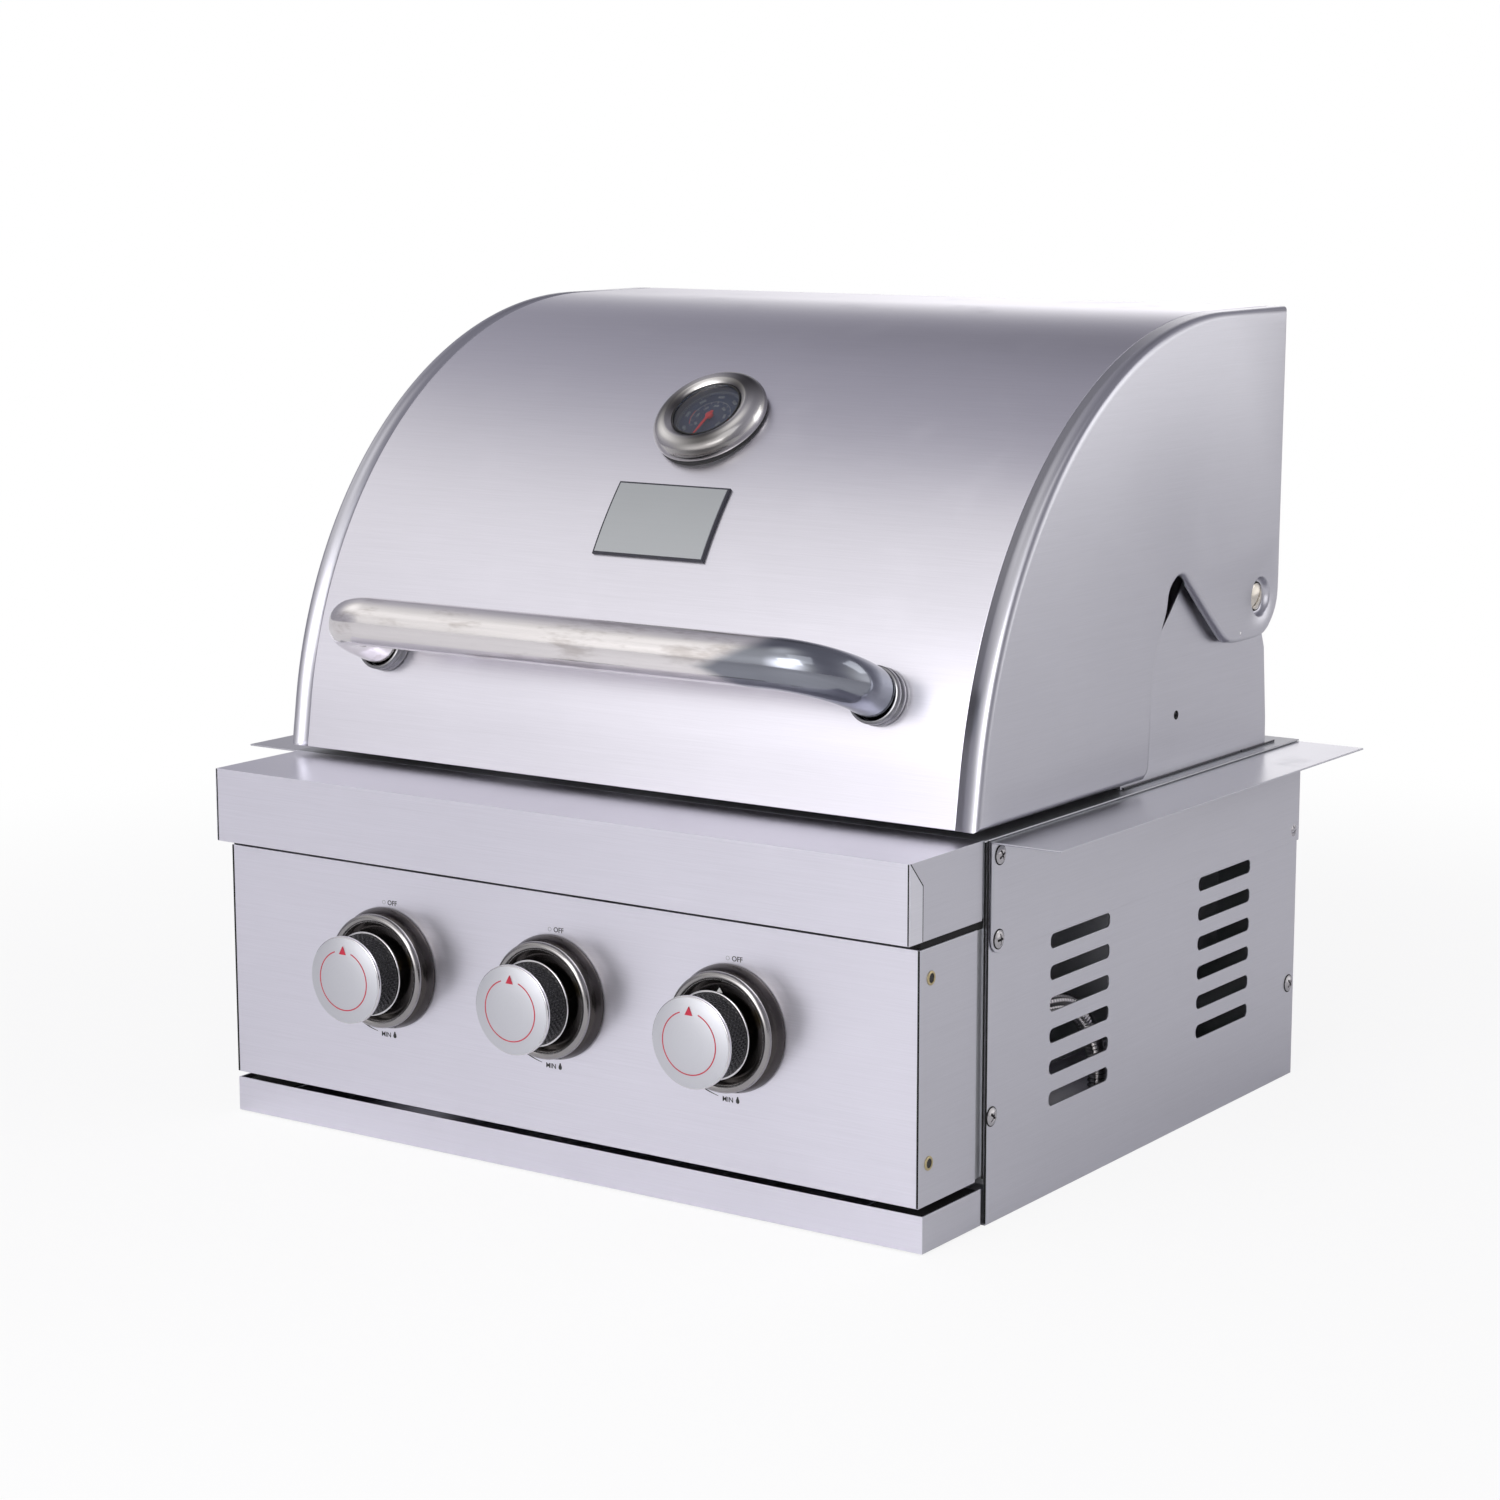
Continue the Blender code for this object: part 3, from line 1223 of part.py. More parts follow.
# Warming rack on the shelves of the gables
rack_x = gable_in - RACK_END
rod_z = RACK_SHELF_Z + GAP + RACK_ROD_R
rack_pitch = (RACK_DEPTH - RACK_ROD_R * 4) / (RACK_RODS - 1)
rack = rods_mesh("warming_rack", [((-rack_x, rack_front + RACK_ROD_R * 2 + rack_pitch * k, rod_z),
                                   (rack_x, rack_front + RACK_ROD_R * 2 + rack_pitch * k, rod_z),
                                   RACK_ROD_R) for k in range(RACK_RODS)], 6, POLISHED)
join(rack, rods_mesh("rack_cross", [((sx * RACK_CROSS_X, rack_front, rod_z + RACK_ROD_R),
                                     (sx * RACK_CROSS_X, rack_back, rod_z + RACK_ROD_R), RACK_CROSS_R)
                                    for sx in (-1, 0, 1)], 6, cutter=True))

# The solid that the hood's skin bounds, larger by the fit: what stands on the hood is cut by it
block_line = inset([back_corner] + front_line[::-1] + [Vector((hood_back, hood_low))], -GAP)


def hood_block(name, half_width):
    """A cutter with the hood's own front and top, set off by the fit."""
    return plate(name, [tuple(p) for p in block_line], half_width * 2, along_x(), cutter=True)


# Handle: a tube bent at both ends, with a collar at each foot
foot, _ = hood_at(HANDLE_FOOT_HEIGHT)
leg = Vector((0.0, -math.cos(HANDLE_TILT), math.sin(HANDLE_TILT)))
foot_middle = Vector((0.0, foot.x, foot.y))
bury = HANDLE_R
handle_corners = [
    foot_middle + Vector((-HANDLE_X, 0, 0)) - leg * bury,
    foot_middle + Vector((-HANDLE_X, 0, 0)) + leg * HANDLE_STAND,
    foot_middle + Vector((HANDLE_X, 0, 0)) + leg * HANDLE_STAND,
    foot_middle + Vector((HANDLE_X, 0, 0)) - leg * bury,
]
handle = rod("handle_tube", rounded_path(handle_corners, HANDLE_BEND, HANDLE_STEPS), HANDLE_R, 20,
             POLISHED)
cut(handle, hood_block("handle_block", skin_x))
on_hood(handle)
for side, sign in (("left", -1), ("right", 1)):
    leg_frame = Matrix((
        (1, 0, 0, sign * HANDLE_X),
        (0, -leg.z, leg.y, foot.x),
        (0, leg.y, leg.z, foot.y),
        (0, 0, 0, 1),
    ))
    tube_r = HANDLE_R + GAP
    collar_profile = (
        (tube_r, COLLAR_HEIGHT),
        (COLLAR_R - COLLAR_GROOVE, COLLAR_HEIGHT),
        (COLLAR_R, COLLAR_HEIGHT - COLLAR_GROOVE),
        (COLLAR_R, COLLAR_HEIGHT * 0.62),
        (COLLAR_R - COLLAR_GROOVE, COLLAR_HEIGHT * 0.55),
        (COLLAR_R, COLLAR_HEIGHT * 0.48),
        (COLLAR_R, -COLLAR_HEIGHT),
        (tube_r, -COLLAR_HEIGHT),
    )
    collar = turned("handle_collar_" + side, collar_profile, 18, leg_frame, POLISHED, closed=True)
    cut(collar, hood_block("collar_block_" + side, skin_x))
    on_hood(collar)

# Thermometer on the arc of the skin
spot, out = hood_at(THERMO_HEIGHT)
thermo = Matrix((
    (1, 0, 0, 0.0),
    (0, out.y, out.x, spot.x),
    (0, -out.x, out.y, spot.y),
    (0, 0, 0, 1),
))
gasket = turned("thermometer_gasket", (
    (GASKET_BORE_R, GASKET_TOP),
    (GASKET_R, GASKET_TOP),
    (GASKET_R, -GASKET_DROP),
    (GASKET_BORE_R, -GASKET_DROP),
), 22, thermo, RUBBER, closed=True)
cut(gasket, hood_block("gasket_block", skin_x))
on_hood(gasket)
disc_floor = DISC_LOW + DISC_BACK
bezel_span = DISC_R - WINDOW_R
on_hood(turned("thermometer_bezel", (
    (WINDOW_R + bezel_span * 0.45, DISC_TOP),
    (WINDOW_R + bezel_span * 0.77, DISC_TOP * 0.90),
    (WINDOW_R + bezel_span * 0.94, DISC_TOP * 0.70),
    (DISC_R, DISC_TOP * 0.42),
    (DISC_R - DISC_BACK / 2, DISC_LOW),
    (PROBE_R + GAP, DISC_LOW),
    (PROBE_R + GAP, disc_floor),
    (DISC_CAVITY_R, disc_floor),
    (DISC_CAVITY_R, WINDOW_LOW),
    (WINDOW_R, WINDOW_LOW),
    (WINDOW_R, WINDOW_HIGH),
    (WINDOW_R + bezel_span * 0.17, DISC_TOP * 0.97),
), 32, thermo, BRUSHED, closed=True))
dial_low = disc_floor + GAP
on_hood(turned("thermometer_dial", (
    (NEEDLE_PIN_R + GAP, dial_low + DIAL_SHEET),
    (DISC_CAVITY_R - GAP, dial_low + DIAL_SHEET),
    (DISC_CAVITY_R - GAP, dial_low),
    (NEEDLE_PIN_R + GAP, dial_low),
), 20, thermo, DIAL, closed=True))
on_hood(turned("thermometer_lens", (
    (0.0, WINDOW_HIGH - GAP),
    (WINDOW_R - GAP, WINDOW_HIGH - GAP),
    (WINDOW_R - GAP, WINDOW_HIGH - GAP - LENS_SHEET),
    (0.0, WINDOW_HIGH - GAP - LENS_SHEET),
), 20, thermo, GLASS))
needle_low = dial_low + DIAL_SHEET + NEEDLE_LIFT
needle = turned("thermometer_needle", (
    (0.0, needle_low + NEEDLE_SHEET * 2),
    (NEEDLE_HUB_R, needle_low + NEEDLE_SHEET * 2),
    (NEEDLE_HUB_R, needle_low),
    (NEEDLE_PIN_R, needle_low),
    (NEEDLE_PIN_R, dial_low + GAP),
    (0.0, dial_low + GAP),
), 8, thermo, RED)
pointer = plate("needle_pointer", [(-NEEDLE_PIN_R, 0.0), (NEEDLE_PIN_R, 0.0), (0.0, NEEDLE_LENGTH)],
                NEEDLE_SHEET, thermo @ Matrix.Translation((0, 0, needle_low + NEEDLE_SHEET))
                @ Matrix.Rotation(NEEDLE_TURN, 4, "Z"), cutter=True)
join(needle, pointer)
on_hood(needle)
probe_top = disc_floor
nut_top = -SHEET - PROBE_SEAT
on_hood(turned("thermometer_probe", (
    (0.0, probe_top),
    (PROBE_R, probe_top),
    (PROBE_R, nut_top),
    (PROBE_NUT_R, nut_top),
    (PROBE_NUT_R, nut_top - PROBE_NUT),
    (PROBE_TIP_R, nut_top - PROBE_NUT),
    (PROBE_TIP_R, -PROBE_LENGTH),
    (0.0, -PROBE_LENGTH),
), 12, thermo, POLISHED))
cut(hood_skin, pin("probe_hole", PROBE_R + GAP, -PROBE_NUT, PROBE_NUT, 12, thermo))
on_hood(hood_skin)
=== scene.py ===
# %% [markdown]
# # A built-in gas grill
# The real grill is bent and drawn stainless sheet that drops into a hole in a counter.
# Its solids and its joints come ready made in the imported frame, and nothing here moves or resizes them.
# This notebook gives each one a finish, draws the finer pieces over them, and lights the whole.

# %% Load the frame
import math

import bmesh
import bpy
import numpy as np
from mathutils import Matrix, Vector
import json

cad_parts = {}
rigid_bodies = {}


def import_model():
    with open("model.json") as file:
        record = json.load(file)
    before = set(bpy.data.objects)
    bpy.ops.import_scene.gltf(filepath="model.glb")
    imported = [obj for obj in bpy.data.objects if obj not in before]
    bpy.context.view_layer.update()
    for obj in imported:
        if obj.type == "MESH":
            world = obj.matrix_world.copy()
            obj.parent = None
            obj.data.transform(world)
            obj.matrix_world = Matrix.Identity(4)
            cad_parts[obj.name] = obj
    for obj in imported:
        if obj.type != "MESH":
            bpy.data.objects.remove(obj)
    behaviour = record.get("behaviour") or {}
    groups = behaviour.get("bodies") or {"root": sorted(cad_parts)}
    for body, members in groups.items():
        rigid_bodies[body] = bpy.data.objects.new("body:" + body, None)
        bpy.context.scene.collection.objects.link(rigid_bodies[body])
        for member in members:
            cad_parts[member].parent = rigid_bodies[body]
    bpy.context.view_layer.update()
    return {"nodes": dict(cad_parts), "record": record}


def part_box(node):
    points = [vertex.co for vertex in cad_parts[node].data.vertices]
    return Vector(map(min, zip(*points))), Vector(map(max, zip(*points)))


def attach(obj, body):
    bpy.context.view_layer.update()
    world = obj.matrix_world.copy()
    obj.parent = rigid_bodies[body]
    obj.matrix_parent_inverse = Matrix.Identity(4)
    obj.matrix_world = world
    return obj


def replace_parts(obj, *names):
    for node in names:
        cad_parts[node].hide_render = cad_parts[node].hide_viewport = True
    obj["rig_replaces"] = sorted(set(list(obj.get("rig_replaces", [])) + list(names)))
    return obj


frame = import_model()
nodes = frame["nodes"]
scene = bpy.context.scene

# %% [markdown]
# ## Shader maths
# A material is a tree of nodes, and wiring it node by node is long and hard to read.
# A Wire holds one socket, so that a material reads as a formula and its nodes are made on the way.
# Colours and vectors go through nodes of their own kind, and these all come from the method make.


# %% Wires
class Wire:
    """One socket in a shader tree; + - and * on it add Math nodes."""

    def __init__(self, tree, socket=None):
        self.tree = tree
        self.socket = socket

    def make(self, kind, out=0, feeds=None, **settings):
        """A new node of that kind: feeds maps its inputs to numbers, colours or wires."""
        node = self.tree.nodes.new(kind)
        for name, value in settings.items():
            setattr(node, name, value)
        for name, value in (feeds or {}).items():
            if isinstance(value, Wire):
                self.tree.links.new(value.socket, node.inputs[name])
            else:
                node.inputs[name].default_value = value
        return None if out is None else Wire(self.tree, node.outputs[out])

    def maths(self, operation, *others):
        """operation on this wire and the others."""
        return self.make("ShaderNodeMath", feeds=dict(enumerate((self,) + others)), operation=operation)

    def __add__(self, other):
        return self.maths("ADD", other)

    def __mul__(self, other):
        return self.maths("MULTIPLY", other)

    def __sub__(self, other):
        return self.maths("SUBTRACT", other)

    def __rsub__(self, other):
        return self * -1 + other

    __radd__ = __add__
    __rmul__ = __mul__

    def ramp(self, start, end, low=0.0, high=1.0):
        """low before start, high after end, smooth between."""
        feeds = {0: self, 1: start, 2: end, 3: low, 4: high}
        return self.make("ShaderNodeMapRange", feeds=feeds, interpolation_type="SMOOTHSTEP")

    def most(self, other):
        """The larger of this and the other."""
        return self.maths("MAXIMUM", other)

    def parts(self):
        """The three parts of a vector."""
        node = self.make("ShaderNodeSeparateXYZ", feeds={0: self}).socket.node
        return [Wire(self.tree, node.outputs[k]) for k in range(3)]

    def point(self, x, y, z):
        """A vector from three numbers or wires."""
        return self.make("ShaderNodeCombineXYZ", feeds={0: x, 1: y, 2: z})

    def noise(self, scale, detail=3.0, rough=0.55):
        """Soft noise, about 0 to 1, at this point."""
        feeds = {"Vector": self, "Scale": scale, "Detail": detail, "Roughness": rough}
        return self.make("ShaderNodeTexNoise", feeds=feeds)

    def blend(self, low, high):
        """low where this is 0, high where it is 1."""
        low, high = (c if isinstance(c, Wire) else tuple(c) + (1.0,) for c in (low, high))
        return self.make("ShaderNodeMix", out=2, feeds={0: self, 6: low, 7: high}, data_type="RGBA")


def finish(name, **fixed):
    """A new material, its shader node, and its object position as a wire."""
    made = bpy.data.materials.new(name)
    made.use_nodes = True
    shader = made.node_tree.nodes["Principled BSDF"]
    for socket, value in fixed.items():
        shader.inputs[socket.replace("_", " ")].default_value = value
    return made, shader, Wire(made.node_tree).make("ShaderNodeTexCoord", out="Object")


def feed(shader, socket, wire):
    """The wire goes into that socket of the shader."""
    wire.tree.links.new(wire.socket, shader.inputs[socket])


def relief(shader, height, depth):
    """A bump of that depth in metres."""
    feeds = {"Height": height, "Distance": depth, "Strength": 1.0}
    feed(shader, "Normal", height.make("ShaderNodeBump", feeds=feeds))


print("shader maths ready")

# %% [markdown]
# ## Brushed sheet
# Stainless sheet is brushed along its length, so it is full of fine parallel scratches.
# A picture of scratches would blur up close; noise that is stretched along the grain stays sharp.
# Low waves of the sheet bend the reflections, and faint smears change the gloss.
# A turned or bent piece carries a grain attribute, so that its scratches run round it.


# %% Brushed metal
def grain_of(here):
    """The piece's own grain: two parts round it and one along it, in metres."""
    return here.make("ShaderNodeAttribute", out="Vector", attribute_name="grain").parts()


def brushed(name, tint, along, rough=0.30, grain=1.0, wave_depth=0.0016, own=False):
    """Brushed metal: colour = tint (1 + noise), gloss and relief from the same noise.

    along holds how fast the noise changes on each axis, tint is a colour or a function of the place.
    """
    made, shader, here = finish(name, Metallic=1.0)
    x, y, z = grain_of(here) if own else here.parts()
    fine = here.point(x * along[0], y * along[1], z * along[2]).noise(1.0, 4.0, 0.65)
    long = here.point(x * along[0] * 0.3, y * along[1] * 0.3, z * along[2] * 0.3).noise(1.0, 2.0)
    cloud = here.noise(5.0, 3.0)
    touch = here.noise(23.0, 5.0, 0.6).ramp(0.55, 0.75)
    shade = (fine - 0.5) * 0.16 * grain + (long - 0.5) * 0.05 * grain + (cloud - 0.5) * 0.05 + 1.0
    full = tint(here) if callable(tint) else tuple(c * 2 for c in tint)
    feed(shader, "Base Color", (shade * 0.5).blend((0.0, 0.0, 0.0), full))
    feed(shader, "Roughness", (fine - 0.5) * 0.07 * grain + (cloud - 0.5) * 0.06 + touch * 0.04 + rough)
    relief(shader, fine * 0.000008 * grain + here.noise(3.2, 1.0) * wave_depth, 1.0)
    return made


ACROSS = (24.0, 2600.0, 2600.0)
BACKWARD = (2400.0, 24.0, 2400.0)
front_steel = brushed("front_steel", (0.79, 0.780, 0.850), ACROSS)
hood_steel = brushed("hood_steel", (0.78, 0.768, 0.825), ACROSS)
fold_steel = brushed("fold_steel", (0.72, 0.72, 0.76), BACKWARD)
# The side finish has real grain from front to back, and its darker tone is painted shade.
side_steel_painted_shade = brushed("side_steel_painted_shade", (0.57, 0.57, 0.61), BACKWARD)
edge_steel = brushed("edge_steel", (0.53, 0.53, 0.57), (60.0, 60.0, 2400.0), own=True)
print("sheet finishes made")

# %% [markdown]
# ## Turned and bent metal
# The dial's bezel is brushed as it spins, so the light gathers on it in fans, like on a pan's bottom.
# The true cause is a gloss that differs along and across the scratches; here the fans are in the tone,
# because they then look the same in every program that opens the model.
# The handle's tube has stains from polishing, and a darker, bluish length at its right bend, which is a painted
# reflection of dark surroundings.

# %% Turned metal
ROUND = (50.0, 50.0, 2400.0)
REFLECTION_Z = 0.3490


def stains_and_painted_reflection(here):
    """The tube's tone, twice over: warm stains, then a bluish painted reflection where x - 2.2 |z -
    REFLECTION_Z| passes 0.115.
    """
    x, y, z = here.parts()
    edge = x - (z - REFLECTION_Z).maths("ABSOLUTE") * 2.2 + (here.noise(30.0, 2.0) - 0.5) * 0.010
    stain = here.point(x * 14.0, y * 60.0, z * 60.0).noise(1.0, 4.0, 0.7).ramp(0.50, 0.70)
    warm = (stain * 0.5).blend((1.86, 1.80, 1.77), (0.90, 0.80, 0.73))
    # Past that edge the tone is a painted dark reflection.
    return edge.ramp(0.104, 0.126).blend(warm, (0.54, 0.57, 0.64))


def painted_fans(here):
    """The dial bezel's tone, twice over: cos(3t + 15 degrees) of the turn t, three fans of painted highlight
    and three of painted shade.
    """
    x, y, _ = grain_of(here)
    c, s = x * 50.0, y * 50.0
    fan = (c * c * 4.0 - 3.0) * c * 0.966 - (3.0 - s * s * 4.0) * s * 0.259
    return (fan * 0.5 + 0.5).blend((0.22, 0.21, 0.205), (1.34, 1.31, 1.28))


dark_turned = brushed("dark_turned", (0.075, 0.068, 0.065), ROUND, 0.22, 1.2, 0.0, own=True)
satin_turned = brushed("satin_turned", (0.65, 0.66, 0.69), ROUND, 0.36, 0.5, 0.0, own=True)
dial_steel = brushed("dial_steel", painted_fans, ROUND, 0.17, 1.2, 0.0, own=True)
ring_steel = brushed("ring_steel", (0.34, 0.33, 0.325), ROUND, 0.17, 1.2, 0.0, own=True)
collar_steel = brushed("collar_steel", (0.24, 0.24, 0.25), ROUND, 0.15, 1.2, 0.0, own=True)
tube_steel = brushed("tube_steel", stains_and_painted_reflection, (240.0, 240.0, 9.0), 0.13, 1.3, 0.0, own=True)
print("turned finishes made")

# %% [markdown]
# ## Small metal parts
# Screws, plating and the zinc-coated sheet inside have a gloss but little or no long grain.
# They use the same recipe, and most of them with noise that is as fine in every direction.

# %% Small metals
polished = brushed("bright_steel", (0.62, 0.60, 0.60), (30.0, 900.0, 900.0), 0.12, 0.4, 0.0004)
screw_steel = brushed("screw_steel", (0.46, 0.45, 0.46), (300.0, 300.0, 300.0), 0.16, 0.4, 0.0)
nickel = brushed("nickel", (0.66, 0.62, 0.55), (300.0, 300.0, 300.0), 0.22, 0.4, 0.0)
galvanised = brushed("zinc_sheet", (0.52, 0.53, 0.55), (60.0, 60.0, 60.0), 0.42, 0.8)
plating = brushed("bright_plating", (0.72, 0.71, 0.72), (200.0, 200.0, 200.0), 0.07, 0.2, 0.0)
satin = brushed("satin_cap", (0.66, 0.66, 0.67), (90.0, 90.0, 900.0), 0.34, 0.5, 0.0)
brass = brushed("brass", (0.50, 0.42, 0.24), (80.0, 80.0, 80.0), 0.28, 0.6, 0.0)
badge_face = brushed("badge_face", (0.46, 0.48, 0.49), (8.0, 1200.0, 1200.0), 0.38, 0.3, 0.0)
print("small metals made")

# %% [markdown]
# ## Plastic, ink and glass
# The grips are moulded plastic, the seals rubber, the marks ink, and the dial's window is glass. A pale finish
# makes a painted glint.
# Up close none of them is one even colour, so a fine cloud shifts their tone and their gloss.
# One loop makes them all, because they differ only in a colour and a roughness.

# %% Plain finishes
plain = {}
for name, colour, rough in (
        ("black_grip", (0.004, 0.004, 0.005), 0.26), ("gasket", (0.010, 0.010, 0.010), 0.6),
        ("ceramic", (0.80, 0.78, 0.73), 0.35), ("dial", (0.026, 0.046, 0.105), 0.4),
        ("pointer", (0.75, 0.03, 0.03), 0.35), ("pale_mark", (0.80, 0.80, 0.78), 0.4),
        ("pale_ink", (0.35, 0.38, 0.40), 0.5), ("black_ink", (0.02, 0.02, 0.02), 0.5),
        ("grey_ink", (0.35, 0.35, 0.36), 0.5), ("red_ink", (0.42, 0.010, 0.035), 0.45),
        ("edge_black", (0.02, 0.02, 0.03), 0.35), ("shade_black", (0.003, 0.003, 0.003), 0.9)):
    made, shader, here = finish(name, Roughness=rough)
    cloud = here.noise(140.0, 4.0)
    feed(shader, "Base Color", cloud.blend(tuple(c * 0.7 for c in colour), tuple(c * 1.3 for c in colour)))
    feed(shader, "Roughness", cloud * 0.2 + rough - 0.1)
    relief(shader, cloud, 0.00005)
    plain[name] = made
pale_ink, black_ink, grey_ink, red_ink = (plain[n + "_ink"] for n in ("pale", "black", "grey", "red"))
gasket, pointer_red, shade_black = plain["gasket"], plain["pointer"], plain["shade_black"]

glass, shader, here = finish("dial_glass", Roughness=0.03, Transmission_Weight=1.0, IOR=1.45)
feed(shader, "Roughness", here.noise(60.0).ramp(0.5, 0.8, 0.02, 0.07))
print(len(plain), "plain finishes and the glass made")

# %% [markdown]
# ## Finishes on the slots
# Each solid of the frame names the slot that it takes, such as brushed or zinc-coated steel.
# One table goes from slot to finish, so that a finish is changed in one place.
# The side sheets are cut with their grain from front to back, so they take a finish of their own, which is also
# toned darker than the front as painted shade.

# %% Finishes on the slots
by_slot = {"brushed_steel": front_steel, "galvanised_steel": galvanised, "polished_steel": polished,
           "chrome": plating, "satin_cap": satin, "brass": brass, "lens": glass, **plain}
sideways = {"side_panel_left", "side_panel_right", "hood_end_cap_left", "hood_end_cap_right",
            "mounting_flange_left", "mounting_flange_right", "hood_frame"}
for name, node in nodes.items():
    for place in node.material_slots:
        key = place.material.name.split(".")[0]
        place.material = by_slot[key]
        if name in sideways and key == "brushed_steel":
            place.material = side_steel_painted_shade
print("finishes set")

# %% [markdown]
# ## Making a piece
# Every new piece is a mesh of points and faces, with one finish, that rides on a body of the frame.
# Its shading is smooth, except over sharp angles, and a real edge is never quite sharp:
# a bevel modifier rounds it by a fraction of a millimetre, so that it catches the light.


# %% Pieces
SLOT_OF = {finish: slot for slot, finishes in (
    ("polished_steel", "bright_steel nickel tube_steel screw_steel collar_steel"),
    ("chrome", "bright_plating dark_turned"), ("galvanised_steel", "zinc_sheet"),
    ("satin_cap", "satin_turned pale_mark"), ("pointer", "red_ink"), ("lens", "dial_glass"),
    ("dial", "pale_ink"), ("gasket", "black_ink grey_ink edge_black shade_black"))
    for finish in finishes.split()}


def piece(name, points, faces, finish, body, stands_for=(), grain=None, angle=35.0, edge=0.0, join=1e-7):
    """A closed mesh from points (n, 3) and faces, with its finish, that moves with a body."""
    mesh = bpy.data.meshes.new(name)
    mesh.from_pydata(np.asarray(points, float).tolist(), [], [list(f) for f in faces])
    if grain is not None:
        mesh.attributes.new("grain", "FLOAT_VECTOR", "POINT").data.foreach_set(
            "vector", np.asarray(grain, np.float32).ravel())
    tidy = bmesh.new()
    tidy.from_mesh(mesh)
    bmesh.ops.remove_doubles(tidy, verts=tidy.verts, dist=join)
    bmesh.ops.recalc_face_normals(tidy, faces=tidy.faces)
    tidy.to_mesh(mesh)
    tidy.free()
    return place_mesh(name, mesh, finish, body, stands_for, angle, edge)


def place_mesh(name, mesh, finish, body, stands_for=(), angle=35.0, edge=0.0):
    """Hang a mesh in the scene on its body, smooth up to that angle, with edges softened by a bevel."""
    mesh.shade_smooth()
    mesh.set_sharp_from_angle(angle=math.radians(angle))
    thing = bpy.data.objects.new(name, mesh)
    scene.collection.objects.link(thing)
    if finish is not None:
        mesh.materials.clear()
        mesh.materials.append(finish)
    if edge:
        soften = thing.modifiers.new("soft_edges", "BEVEL")
        soften.width = edge
        soften.segments = 2
        soften.limit_method = "ANGLE"
        soften.angle_limit = math.radians(40.0)
        soften.use_clamp_overlap = True
        soften.harden_normals = True
    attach(thing, body)
    if stands_for:
        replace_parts(thing, *stands_for)
    material = mesh.materials[0].name
    SLOT_OF.get(material, material if material in by_slot else "brushed_steel")
    return thing


print("slots known for", len(SLOT_OF), "more finishes")

# %% [markdown]
# ## Grids and frames
# A sheet, a rod and a turned part are all one thing: a grid of points with quads between neighbours.
# The whole grid is worked out as arrays, which is fast and keeps the formula in sight.
# A piece is drawn round the origin where that is simple, and a 4 by 4 frame then carries it to its place.


# %% Grids
def quads_of(index):
    """Quads between the neighbours of a grid of point numbers."""
    corners = (index[:-1, :-1], index[1:, :-1], index[1:, 1:], index[:-1, 1:])
    return np.stack(corners, -1).reshape(-1, 4).tolist()


def moved(points, where):
    """The points (n, 3) carried by a 4 by 4 frame: P' = where P."""
    return (np.c_[points, np.ones(len(points))] @ np.asarray(where, float).T)[:, :3]


def spun(angle):
    """The 2 by 2 matrix that turns rows (x, y) by an angle, against the clock."""
    return np.array(((math.cos(angle), math.sin(angle)), (-math.sin(angle), math.cos(angle))))


def axes(origin, x_way, z_way):
    """A 4 by 4 frame whose Z is z_way and whose X is x_way."""
    z_way = np.asarray(z_way, float) / np.linalg.norm(z_way)
    x_way = np.asarray(x_way, float) / np.linalg.norm(x_way)
    frame_of = np.eye(4)
    frame_of[:3, 0], frame_of[:3, 1], frame_of[:3, 2] = x_way, np.cross(z_way, x_way), z_way
    frame_of[:3, 3] = origin
    return frame_of


def sheet_of(name, grid, finish, body, wrap=(False, True), caps=False, **more):
    """Quads over a grid (m, n, 3); wrap closes it either way, caps adds its two end rings."""
    m, n = grid.shape[:2]
    index = np.arange(m * n).reshape(m, n)
    ends = [index[0].tolist(), index[-1].tolist()[::-1]] if caps else []
    if wrap[0]:
        index = np.vstack((index, index[:1]))
    if wrap[1]:
        index = np.hstack((index, index[:, :1]))
    return piece(name, grid.reshape(-1, 3), quads_of(index) + ends, finish, body, **more)


print("grids ready")

# %% [markdown]
# ## Turned parts
# Bezels, rings, caps and rivets are round about an axis, as if they came off a lathe.
# Spin in Blender would do it, but a profile times a full turn is one line of numpy.
# Each corner of the profile is cut twice, which rounds it as a real edge is.


# %% Turned parts
def eased(profile, size, rounds=2, closed=True):
    """The profile with each corner cut by up to that size, and cut again finer."""
    line = np.asarray(profile, float)
    for k in range(rounds):
        ahead = np.roll(line, -1, axis=0)
        step = ahead - line
        length = np.linalg.norm(step, axis=1, keepdims=True)
        part = np.minimum(size / 3 ** k, 0.3 * length) / np.maximum(length, 1e-12)
        pair = np.stack((line + step * part, ahead - step * part), 1)
        if closed:
            line = pair.reshape(-1, 2)
        else:
            line = np.vstack((line[:1], pair[:-1].reshape(-1, 2), line[-1:]))
    return line


